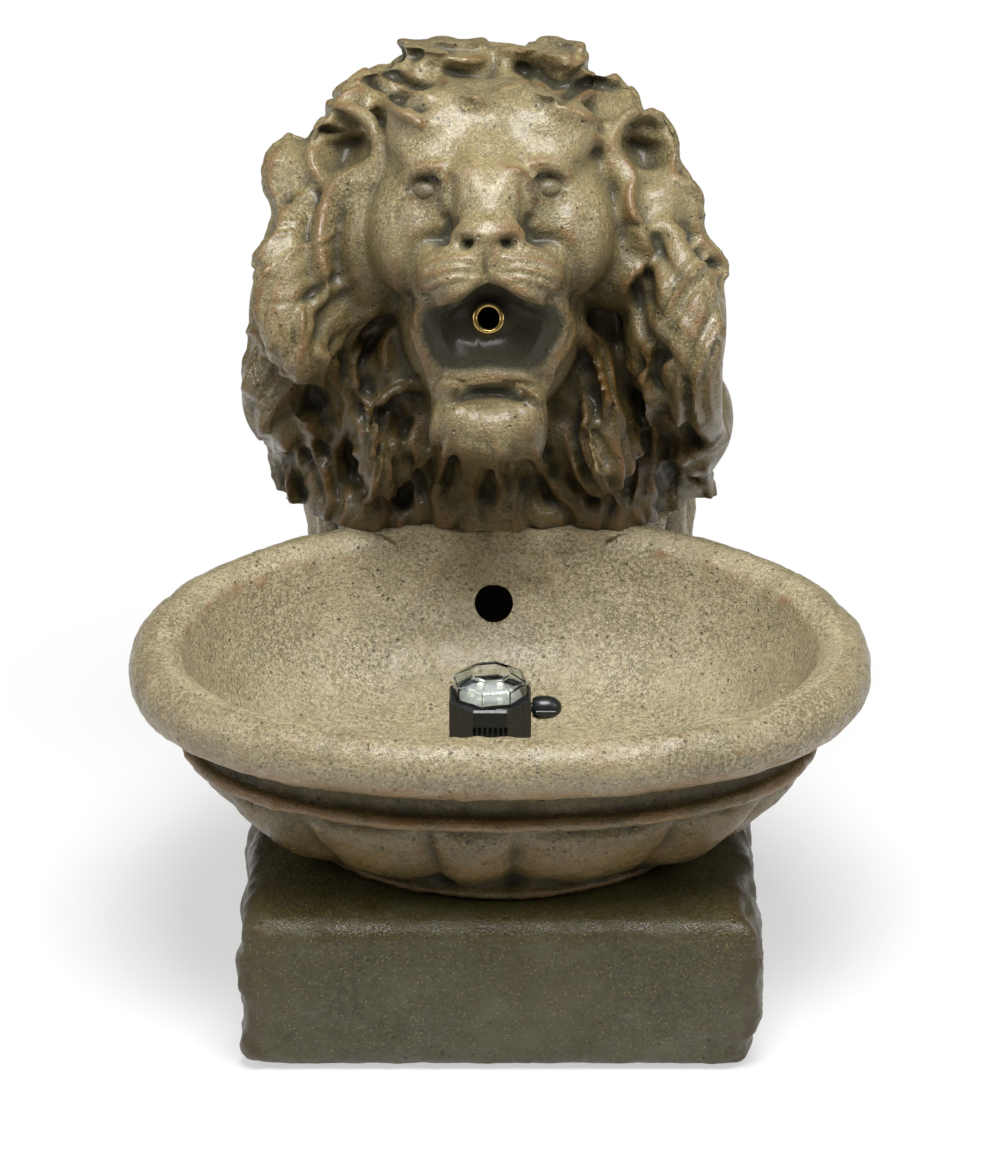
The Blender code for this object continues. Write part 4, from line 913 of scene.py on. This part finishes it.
def outside_rows():
    """Over the rim, down the cove, the bead and the lobes to the foot."""
    middle = HALF_WIDTH - RIM_R
    rim = []
    for degrees in range(150, -68, -9):
        a = math.radians(degrees)
        rim.append((middle + RIM_R * math.cos(a), RIM_Z + RIM_R * math.sin(a)))
    cove = [(0.2128, 0.1900), (0.2060, 0.1893), (0.1970, 0.1865), (0.1895, 0.1790), (0.1872, 0.1695)]
    bead = []
    for degrees in range(110, -111, -20):
        a = math.radians(degrees)
        bead.append((0.1912 + 0.0046 * math.cos(a), 0.1625 + 0.0044 * math.sin(a)))
    lobes = [(0.1885, 0.1568), (0.1912, 0.1500), (0.1890, 0.1380), (0.1820, 0.1220), (0.1700, 0.1110)]
    foot = [(0.1040, 0.1077), (0.1085, 0.1066), (0.1092, 0.1050), (0.1090, 0.1008), (0.080, 0.1008)]
    smooth = [tuple(p) for p in curve_through(lobes, 3)]
    return rim + [tuple(p) for p in curve_through(cove, 2)] + bead + smooth + foot


def round_form(name, rows):
    """Turns rows of (radius, height) into a closed round form over the bowl's middle, as on a wheel."""
    outline = [(0, rows[0][1])] + rows + [(0, rows[-1][1])]
    return turned(name, outline, Matrix.Translation((0, BOWL_Y, 0)), len(lobe_angles()), closed=False)


def bend_to_plan(piece):
    """Moves each point of the round bowl to the oval plan, and presses the valleys between the lobes."""
    turns = lobe_angles()
    count = len(turns)
    heights = (0.1077, 0.1110, 0.1220, 0.1380, 0.1540, 0.1580)
    drawn_in = (0.010, 0.016, 0.019, 0.009, 0.003, 0.0)
    pressed = (0.3, 0.9, 1.0, 1.0, 0.55, 0.0)
    floor_radius = 0.130
    for v in piece.data.vertices:
        radius = math.hypot(v.co.x, v.co.y - BOWL_Y)
        if radius < 0.001:
            continue
        spot = math.atan2(v.co.y - BOWL_Y, v.co.x) / (2 * math.pi) * count
        angle, share = turns[round(spot) % count]
        outside = v.co.z < 0.1272 or radius > 0.175
        if outside and v.co.z < 0.1085:
            x, y = 1.15 * radius * math.cos(angle), radius * math.sin(angle)
        elif outside:
            narrow = float(np.interp(v.co.z, heights, drawn_in))
            dip = float(np.interp(v.co.z, heights, pressed))
            radius -= dip * GADROON_DEPTH * (1 - math.sin(math.pi * share) ** 0.6)
            x, y = rim_plan(radius, angle, narrow)
        elif radius < floor_radius:
            x, y = rim_plan(floor_radius, angle)
            x, y = x * radius / floor_radius, y * radius / floor_radius
        else:
            x, y = rim_plan(radius, angle)
        v.co.x, v.co.y = x, BOWL_Y + y


def shoulder():
    """The round-fronted block under the head."""
    bpy.ops.mesh.primitive_cylinder_add(vertices=120, radius=1, depth=1)
    piece = named("shoulder")
    low, high = BASIN_LOW[2], RIM_TOP - 0.0002
    piece.location = (0, SHOULDER_Y, (low + high) / 2)
    piece.scale = (*SHOULDER_HALF, high - low)
    settle_in_place(piece)
    edit_all()
    bpy.ops.mesh.bisect(plane_co=(0, BACK_Y, 0), plane_no=(0, 1, 0), use_fill=True, clear_outer=True)
    bpy.ops.object.mode_set(mode="OBJECT")
    one_skin(piece, SHOULDER_SKIN)
    clay = Clay(piece)
    across = np.arctan2(clay.co[:, 1] - SHOULDER_Y, clay.co[:, 0]) * 9
    strands = np.array([noise.noise((a, z * 14, 0)) for a, z in zip(across, clay.co[:, 2])])
    side = (np.abs(clay.normal[:, 2]) < 0.5) & (clay.normal[:, 1] < 0.5)
    inward = np.clip(0.35 - strands, 0, 1) * 0.012 * side
    clay.co -= clay.normal * inward[:, None]
    clay.put_back()
    return piece


def rock_over_the_rim(clay):
    """Rough rock from under the head runs over the rim's inner edge at the back."""
    x, y, z = clay.co[:, 0] + 0.002, clay.co[:, 1], clay.co[:, 2]
    ragged = np.array([noise.noise(Vector(p) / 0.011) for p in clay.co])
    share = np.clip(1 - (x / (0.046 + 0.012 * ragged)) ** 4, 0, 1)
    share *= np.clip((z - 0.186 + 0.006 * ragged) / 0.014, 0, 1) * (y > 0.045) * (y < 0.118)
    clay.co[:, 1] -= share * (0.0055 + 0.0050 * ragged) * np.clip((0.122 - y) / 0.02, 0, 1)
    clay.co[:, 2] = np.minimum(clay.co[:, 2] + share * 0.003 * ragged, RIM_TOP)


def tint_the_lips_and_paint_shade(clay):
    """The rim's lower lip and the bead are worn brown; painted shade darkens the grooves beside them and the
    underside.
    """
    x, y, z = clay.co[:, 0], clay.co[:, 1] - BOWL_Y, clay.co[:, 2]
    outside = (clay.normal[:, 0] * x + clay.normal[:, 1] * y > 0) & (clay.co[:, 1] < 0.13)
    worn = np.exp(-((z - 0.1950) / 0.0075) ** 2) + 0.8 * np.exp(-((z - 0.1630) / 0.0040) ** 2)
    worn += 0.45 * np.exp(-((z - 0.130) / 0.020) ** 2)
    # Painted shade in the cove and in the groove under the bead.
    painted_shade_in_grooves = 0.26 * np.exp(-((z - 0.1760) / 0.0065) ** 2) + 0.34 * np.exp(-((z - 0.1565) / 0.0022) ** 2)
    # Painted shade on the outside: a little over the rim, more below the lip.
    clay.mark("shade", outside * (0.30 + 0.75 * np.clip((0.199 - z) / 0.014, 0, 1)))
    inside = ~outside & (z < RIM_Z)
    for name, amount in (("edge", worn), ("hollow", painted_shade_in_grooves)):
        now = clay.marked(name)
        now = np.where(inside, now * 0.22, now)
        clay.mark(name, np.maximum(now, amount * outside))


def calm_round_the_hole(clay):
    """Round the hole and on the shoulder there is little worn colour."""
    near = np.linalg.norm(clay.co - np.array(WALL_HOLE), axis=1) < 0.030
    near |= (clay.co[:, 1] > 0.080) & (clay.co[:, 2] > 0.170)
    now = clay.marked("edge")
    clay.mark("edge", np.where(near, now * 0.2, now))


def bowl_casting():
    rows = inside_rows()
    bowl = round_form("bowl_casting", rows + outside_rows())
    bend_to_plan(bowl)
    step = bowl.modifiers.new("finer", "SUBSURF")
    step.levels = 1
    step.render_levels = 1
    apply_steps(bowl)
    space_rows = [(radius + 0.002, height - 0.002) for radius, height in rows]
    space = round_form("bowl_space", space_rows + [(0.190, 0.212), (0.192, 0.27)])
    bend_to_plan(space)
    block = shoulder()
    cut_away(block, space)
    cut_away(bowl, block, "UNION")
    down_back = Matrix.Translation(WALL_HOLE) @ Matrix.Rotation(-math.pi / 2 - TILT, 4, "X")
    cut_away(bowl, rod_tool("wall_hole", WALL_HOLE_R, -0.04, 0.06, down_back))
    cut_away(bowl, block_tool("slot", (-SLOT_HALF, SLOT_FRONT_Y, SLOT_SILL_Z),
                              (SLOT_HALF, BACK_Y + 0.05, RIM_TOP + 0.05)))
    cut_away(bowl, block_tool("pit", (-SLOT_HALF + 0.003, SLOT_FRONT_Y + 0.003, BASE_TOP + 0.014),
                              (SLOT_HALF - 0.003, BACK_Y - 0.014, SLOT_SILL_Z + 0.01)))
    clay = Clay(bowl)
    away = np.clip(np.linalg.norm(clay.co - np.array(WALL_HOLE), axis=1) / 0.012 - 1.3, 0, 1)
    clay.roughen(0.0010, 0.026, away)
    clay.roughen(0.0008, 0.009, away)
    clay.roughen(0.0004, 0.0045, away)
    rock_over_the_rim(clay)
    clay.keep_in_box()
    clay.put_back()
    clay.mark_relief(near_steps=6, far_steps=24)
    tint_the_lips_and_paint_shade(clay)
    calm_round_the_hole(clay)
    smooth_up_to(bowl, 50)
    return bowl


# Base
def hewn_block():
    """A cube, hollowed from below, its edges rounded and its sides hewn."""
    low, high = Vector((-BLOCK_HALF, BLOCK_FRONT_Y, 0)), Vector((BLOCK_HALF, BACK_Y, BASE_TOP))
    block = block_tool("hewn_block", low, high)
    bpy.ops.object.mode_set(mode="EDIT")
    bpy.ops.mesh.select_mode(type="EDGE")
    bpy.ops.mesh.select_all(action="SELECT")
    bpy.ops.mesh.bevel(offset=0.011, segments=4, affect="EDGES")
    bpy.ops.object.mode_set(mode="OBJECT")
    one_skin(block, BLOCK_SKIN)
    clay = Clay(block)
    clay.relax(2)
    clay.settle()
    heights = (0.0, 0.012, 0.030, 0.052, 0.072, 0.088, BASE_TOP)
    swell = (0.0, 0.0018, 0.0038, 0.0050, 0.0040, 0.0016, 0.0)
    outward = np.interp(clay.co[:, 2], heights, swell)
    side = np.abs(clay.normal[:, 0]) > 0.5
    front = clay.normal[:, 1] < -0.5
    clay.co[:, 0] += np.sign(clay.co[:, 0]) * outward * side
    clay.co[:, 1] -= outward * 0.8 * front
    on_side = np.clip((np.abs(clay.co[:, 0]) - 0.138) / 0.012, 0, 1)
    clay.settle()
    clay.roughen(0.0052, 0.030, on_side)
    clay.roughen(0.0022, 0.011, on_side)
    clay.roughen(0.0008, 0.012)
    clay.roughen(0.0004, 0.005)
    clay.keep_in_box()
    clay.co[:, 2] = np.minimum(clay.co[:, 2], BASE_TOP)
    clay.put_back()
    cut_away(block, block_tool("hollow", (-BLOCK_ROOM_HALF, low.y + BLOCK_WALL, -0.01),
                               (BLOCK_ROOM_HALF, BACK_Y - BLOCK_WALL, BASE_TOP - 0.018)))
    cut_away(block, block_tool("notch", (-NOTCH_HALF, BACK_Y - 0.04, -0.01),
                               (NOTCH_HALF, BACK_Y + 0.02, NOTCH_TOP)))
    clay = Clay(block)
    clay.mark_relief(near_steps=6, far_steps=24)
    smooth_up_to(block, 60)
    return block


# Materials
def add_node(tree, kind, inputs=None, **settings):
    """A node with its settings and inputs, an input being a value or another node's output."""
    made = tree.nodes.new(kind)
    for name, value in settings.items():
        setattr(made, name, value)
    for socket, value in (inputs or {}).items():
        if isinstance(value, bpy.types.NodeSocket):
            tree.links.new(value, made.inputs[socket])
        else:
            made.inputs[socket].default_value = value
    return made


def mixed(tree, share, a, b, blend="MIX"):
    made = add_node(tree, "ShaderNodeMix", data_type="RGBA", blend_type=blend)
    for socket, value in ((0, share), (6, a), (7, b)):
        if isinstance(value, bpy.types.NodeSocket):
            tree.links.new(value, made.inputs[socket])
        else:
            made.inputs[socket].default_value = value if socket == 0 else (*value, 1)
    return made.outputs[2]


def maths(tree, operation, a, b=0.0):
    return add_node(tree, "ShaderNodeMath", {0: a, 1: b}, operation=operation).outputs[0]


def between(tree, value, low, high, to_low=0.0, to_high=1.0):
    made = add_node(tree, "ShaderNodeMapRange", {0: value, 1: low, 2: high, 3: to_low, 4: to_high})
    return made.outputs[0]


def noise_of(tree, spot, scale, detail=3.0, roughness=0.5):
    made = add_node(tree, "ShaderNodeTexNoise", {"Vector": spot, "Scale": scale, "Detail": detail,
                                                 "Roughness": roughness})
    return made.outputs[0]


def cells_of(tree, spot, scale):
    """A random number for each small cell, and the distance from the cell's middle."""
    made = add_node(tree, "ShaderNodeTexVoronoi", {"Vector": spot, "Scale": scale})
    apart = add_node(tree, "ShaderNodeSeparateColor", {0: made.outputs["Color"]})
    return apart.outputs[0], made.outputs["Distance"]


def new_look(name):
    made = bpy.data.materials.new(name)
    made.use_nodes = True
    tree = made.node_tree
    shader = tree.nodes["Principled BSDF"]
    spot = add_node(tree, "ShaderNodeTexCoord").outputs["Object"]
    return made, tree, shader, spot


def toned(colour, tone, power=1.0):
    return tuple(c * t ** power for c, t in zip(colour, tone))


def times(tree, a, b):
    return maths(tree, "MULTIPLY", a, b)


def cast_stone(name, tone, coat):
    """Cast stone: speckled, half glossy, orange-brown on its edges, with painted shade that darkens its
    hollows and the places marked shade.
    """
    made, tree, shader, spot = new_look(name)
    cloud = noise_of(tree, spot, 16, 3)
    grain_noise = noise_of(tree, spot, 420, 4, 0.65)
    sand = mixed(tree, between(tree, cloud, 0.36, 0.64), toned((0.190, 0.153, 0.078), tone),
                 toned((0.310, 0.250, 0.134), tone))
    sand = mixed(tree, between(tree, grain_noise, 0.42, 0.60), sand, toned((0.405, 0.338, 0.198), tone))
    pick, away = cells_of(tree, spot, 720)
    dark_grain = times(tree, maths(tree, "GREATER_THAN", pick, 0.80), between(tree, away, 0.55, 0.30))
    sand = mixed(tree, times(tree, dark_grain, 0.75), sand, (0.060, 0.060, 0.042))
    pale_grain = times(tree, maths(tree, "LESS_THAN", pick, 0.10), between(tree, away, 0.50, 0.25))
    sand = mixed(tree, times(tree, pale_grain, 0.7), sand, toned((0.60, 0.53, 0.38), tone, 0.6))
    big_pick, big_away = cells_of(tree, spot, 320)
    pit = times(tree, maths(tree, "GREATER_THAN", big_pick, 0.955), between(tree, big_away, 0.42, 0.20))
    sand = mixed(tree, times(tree, pit, 0.6), sand, (0.045, 0.042, 0.030))
    green = between(tree, noise_of(tree, spot, 34, 3), 0.50, 0.72)
    sand = mixed(tree, times(tree, green, 0.26), sand, (0.100, 0.096, 0.050))
    edge, hollow, shade = (add_node(tree, "ShaderNodeAttribute", attribute_name=mark).outputs["Fac"]
                           for mark in ("edge", "hollow", "shade"))
    patch = between(tree, noise_of(tree, spot, 46, 3), 0.30, 0.62)
    on_edge = times(tree, between(tree, edge, 0.18, 0.62), patch)
    # Painted shade: where the shade mark is set, the colour is multiplied by a dark brown.
    sand = mixed(tree, shade, sand, mixed(tree, 1.0, sand, (0.39, 0.345, 0.20), "MULTIPLY"))
    sand = mixed(tree, times(tree, on_edge, 0.70), sand, toned((0.215, 0.108, 0.032), tone, 0.9))
    # Painted shade: the hollow mark darkens recesses toward near black, where shadow falls.
    painted_shade_in_hollow = times(tree, between(tree, hollow, 0.08, 0.50), 0.92)
    sand = mixed(tree, painted_shade_in_hollow, sand, (0.021, 0.019, 0.007))
    tree.links.new(sand, shader.inputs["Base Color"])
    gloss = noise_of(tree, spot, 60, 4, 0.6)
    rough = maths(tree, "ADD", between(tree, gloss, 0.35, 0.65, 0.26, 0.60),
                  times(tree, painted_shade_in_hollow, 0.40))
    tree.links.new(rough, shader.inputs["Roughness"])
    shader.inputs["Coat Weight"].default_value = coat
    shader.inputs["Coat Roughness"].default_value = 0.16
    height = maths(tree, "ADD", times(tree, grain_noise, 0.6),
                   times(tree, between(tree, away, 0.0, 0.6), 0.35))
    height = maths(tree, "SUBTRACT", height, times(tree, pit, 1.4))
    height = maths(tree, "ADD", height, times(tree, noise_of(tree, spot, 110, 3), 1.3))
    bump = add_node(tree, "ShaderNodeBump", {"Height": height, "Strength": 0.85, "Distance": 0.0009})
    tree.links.new(bump.outputs[0], shader.inputs["Normal"])
    return made


def plain_look(name, colour, roughness, metallic=0.0, spread=0.12, scale=300.0, bump=0.00005, coat=0.0):
    """A colour that varies a little, with a fine unevenness in its shine and surface."""
    made, tree, shader, spot = new_look(name)
    fleck = noise_of(tree, spot, scale, 3)
    low = tuple(c * (1 - spread) for c in colour)
    high = tuple(min(1.0, c * (1 + spread)) for c in colour)
    tree.links.new(mixed(tree, between(tree, fleck, 0.35, 0.65), low, high), shader.inputs["Base Color"])
    tree.links.new(between(tree, fleck, 0.3, 0.7, roughness * 0.85, min(1.0, roughness * 1.15)),
                   shader.inputs["Roughness"])
    shader.inputs["Metallic"].default_value = metallic
    shader.inputs["Coat Weight"].default_value = coat
    surface = add_node(tree, "ShaderNodeBump", {"Height": fleck, "Strength": 0.5, "Distance": bump})
    tree.links.new(surface.outputs[0], shader.inputs["Normal"])
    return made


def clear_look(name):
    made, tree, shader, spot = new_look(name)
    haze = noise_of(tree, spot, 240, 2)
    tree.links.new(between(tree, haze, 0.3, 0.7, 0.03, 0.10), shader.inputs["Roughness"])
    shader.inputs["Base Color"].default_value = (0.90, 0.94, 0.93, 1)
    shader.inputs["Transmission Weight"].default_value = 1.0
    shader.inputs["IOR"].default_value = 1.49
    return made


def wear(piece, look):
    piece.data.materials.clear()
    piece.data.materials.append(look)


# Light and camera
def area_light(name, spot, aim, size, power):
    lamp = bpy.data.lights.new(name, "AREA")
    lamp.shape = "RECTANGLE"
    lamp.size, lamp.size_y = size
    lamp.energy = power
    holder = bpy.data.objects.new(name, lamp)
    bpy.context.scene.collection.objects.link(holder)
    holder.location = spot
    holder.rotation_euler = (Vector(aim) - Vector(spot)).to_track_quat("-Z", "Y").to_euler()


def studio():
    """A white room: the camera sees plain white behind, and the floor is pale."""
    world = bpy.data.worlds.new("studio")
    bpy.context.scene.world = world
    world.use_nodes = True
    tree = world.node_tree
    tree.nodes.clear()
    rays = add_node(tree, "ShaderNodeLightPath")
    plain = add_node(tree, "ShaderNodeBackground", {0: (1, 1, 1, 1), 1: 1.0})
    lit = add_node(tree, "ShaderNodeBackground", {0: (1.0, 0.985, 0.95, 1), 1: 0.17})
    seen = maths(tree, "MAXIMUM", rays.outputs["Is Camera Ray"], rays.outputs["Is Transmission Ray"])
    both = add_node(tree, "ShaderNodeMixShader", {0: seen, 1: lit.outputs[0], 2: plain.outputs[0]})
    add_node(tree, "ShaderNodeOutputWorld", {0: both.outputs[0]})
    area_light("overhead", (0.08, -0.50, 1.62), (0, -0.05, 0.20), (0.9, 0.7), 36)
    area_light("from_the_right", (1.25, -0.55, 1.05), (0, 0, 0.30), (0.4, 0.8), 5)
    area_light("from_the_left", (-1.30, -0.35, 0.95), (0, 0, 0.35), (0.4, 0.8), 5)


def floor():
    bpy.ops.mesh.primitive_plane_add(size=6)
    ground = named("floor")
    made, tree, shader, spot = new_look("floor_white")
    shader.inputs["Base Color"].default_value = (0.9, 0.9, 0.9, 1)
    shader.inputs["Roughness"].default_value = 0.9
    rays = add_node(tree, "ShaderNodeLightPath")
    seen = maths(tree, "MAXIMUM", rays.outputs["Is Camera Ray"], rays.outputs["Is Glossy Ray"])
    seen = maths(tree, "MAXIMUM", seen, rays.outputs["Is Transmission Ray"])
    away = add_node(tree, "ShaderNodeVectorMath", {0: spot}, operation="LENGTH").outputs["Value"]
    share = maths(tree, "MULTIPLY", seen, between(tree, away, 0.24, 0.55, 0.55, 1.0))
    white = add_node(tree, "ShaderNodeEmission", {0: (1, 1, 1, 1), 1: 1.0})
    both = add_node(tree, "ShaderNodeMixShader", {0: share, 1: shader.outputs[0], 2: white.outputs[0]})
    tree.links.new(both.outputs[0], tree.nodes["Material Output"].inputs["Surface"])
    wear(ground, made)


def camera():
    """Straight in front, 25 degrees above, as the photograph was taken."""
    lens = bpy.data.cameras.new("camera")
    lens.sensor_fit = "HORIZONTAL"
    lens.sensor_width = 36
    lens.lens = LENS_MM
    eye = bpy.data.objects.new("camera", lens)
    bpy.context.scene.collection.objects.link(eye)
    eye.location = Vector((0, BOWL_Y, RIM_Z)) + UP * EYE_RISE + OUT * EYE_AWAY
    eye.rotation_euler = (math.radians(65), 0, 0)
    bpy.context.scene.camera = eye


# Small pieces
def spout_ring():
    """The brass ring and tube, with a rounded lip."""
    seat = SPOUT_SEAT_W
    tail = -0.133
    outline = [(0.0062, tail), (SPOUT_TUBE_R - 0.0015, tail), (SPOUT_TUBE_R - 0.0003, tail + 0.003),
               (SPOUT_TUBE_R - 0.0008, tail + 0.012), (SPOUT_TUBE_R, tail + 0.013),
               (SPOUT_TUBE_R, seat + 0.0018), (0.0094, seat + 0.0018), (0.0099, seat + 0.0026),
               (0.0099, seat + 0.0052), (0.0096, seat + 0.0061), (0.0089, seat + 0.0067),
               (0.0081, seat + 0.0068), (0.0073, seat + 0.0066), (0.0067, seat + 0.0060),
               (0.0064, seat + 0.0050), (0.0062, seat + 0.002)]
    return turned("spout_ring", outline, mouth_axis())


def knob_grip():
    """The flow knob: a rounded, egg-shaped grip with two low wings."""
    at = Matrix.Translation(KNOB_AT) @ Matrix.Rotation(math.pi / 2, 4, "Y")
    outline = [(0, -0.0055), (0.0030, -0.0055), (0.0030, 0.0008), (0.0056, 0.0010), (0.0068, 0.0030),
               (0.0073, 0.0065), (0.0072, 0.0105), (0.0062, 0.0145), (0.0044, 0.0172),
               (0.0022, 0.0186), (0, 0.0190)]
    grip = turned("knob_grip", outline, at, 48, closed=False)
    for side in (-1, 1):
        wing = rod_tool("wing", 0.0016, 0.0030, 0.0150, at @ Matrix.Translation((0, side * 0.0070, 0)), 24)
        cut_away(grip, wing, "UNION")
    smooth_up_to(grip, 40)
    return grip


def octagon_shell(name, levels):
    """Eight-sided rings of (half width, height), from the outer foot over the top to the inner foot."""
    middle = (LENS_LOW + LENS_HIGH) / 2
    bpy.ops.mesh.primitive_circle_add(vertices=8, radius=levels[0][0] / math.cos(math.pi / 8),
                                      fill_type="NOTHING", location=(middle.x, middle.y, levels[0][1]),
                                      rotation=(0, 0, math.radians(LENS_TURN + 22.5)))
    shell = named(name)
    settle_in_place(shell)
    edit_all()
    last = levels[0]
    for half, height in levels[1:]:
        bpy.ops.mesh.extrude_edges_move(TRANSFORM_OT_translate={"value": (0, 0, height - last[1])})
        bpy.ops.transform.resize(value=(half / last[0], half / last[0], 1),
                                 center_override=(middle.x, middle.y, height))
        last = (half, height)
    bpy.ops.object.mode_set(mode="OBJECT")
    return shell


def lens_dome():
    """The clear cap over the lamps, bevelled to a small flat top, with a thin wall."""
    half = (LENS_HIGH.x - LENS_LOW.x) / 2 * math.cos(math.pi / 8) / math.cos(math.radians(12.5))
    foot, top = LENS_LOW.z, LENS_HIGH.z
    high = top - foot
    levels = [(half - 0.0016, foot), (half, foot), (half, foot + high * 0.56),
              (half - 0.0010, foot + high * 0.64), (half * 0.62, top - 0.0004), (half * 0.56, top),
              (half * 0.54, top - 0.0015), (half * 0.60, top - 0.0020),
              (half - 0.0030, foot + high * 0.60), (half - 0.0016, foot + high * 0.52)]
    dome = octagon_shell("lens_dome", levels)
    edit_all()
    bpy.ops.mesh.remove_doubles(threshold=0.00001)
    bpy.ops.mesh.select_all(action="DESELECT")
    bpy.ops.mesh.select_non_manifold(extend=False)
    bpy.ops.mesh.bridge_edge_loops()
    bpy.ops.object.mode_set(mode="OBJECT")
    return dome


def main():
    camera()
    studio()
    floor()
    looks = {name: cast_stone(name, *values) for name, values in STONES.items()}
    looks.update((name, plain_look(name, *values)) for name, values in PLAIN.items())
    looks["clear_plastic"] = clear_look("clear_plastic")
    for node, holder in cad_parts.items():
        for slot in holder.material_slots:
            slot.material = looks[WORN.get(node, "black_plastic")]
    pieces = ((bowl_casting, "basin", "stone", "cast_stone", "fountain"),
              (hewn_block, "base_block", "stone", "hewn_stone", "fountain"),
              (lion_sculpture, "lion_head", "stone", "carved_stone", "fountain"),
              (spout_ring, "spout_tube", "brass", "brass", "fountain"),
              (lens_dome, "lens_cap", "clear_plastic", "clear_plastic", "fountain"),
              (knob_grip, "flow_knob", "black_plastic", "black_plastic", "knob"))
    for make, node, slot, look, body in pieces:
        piece = make()
        wear(piece, looks[look])
        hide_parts(node)
        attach(piece, body)


main()
bpy.context.scene.view_settings.view_transform = "Standard"
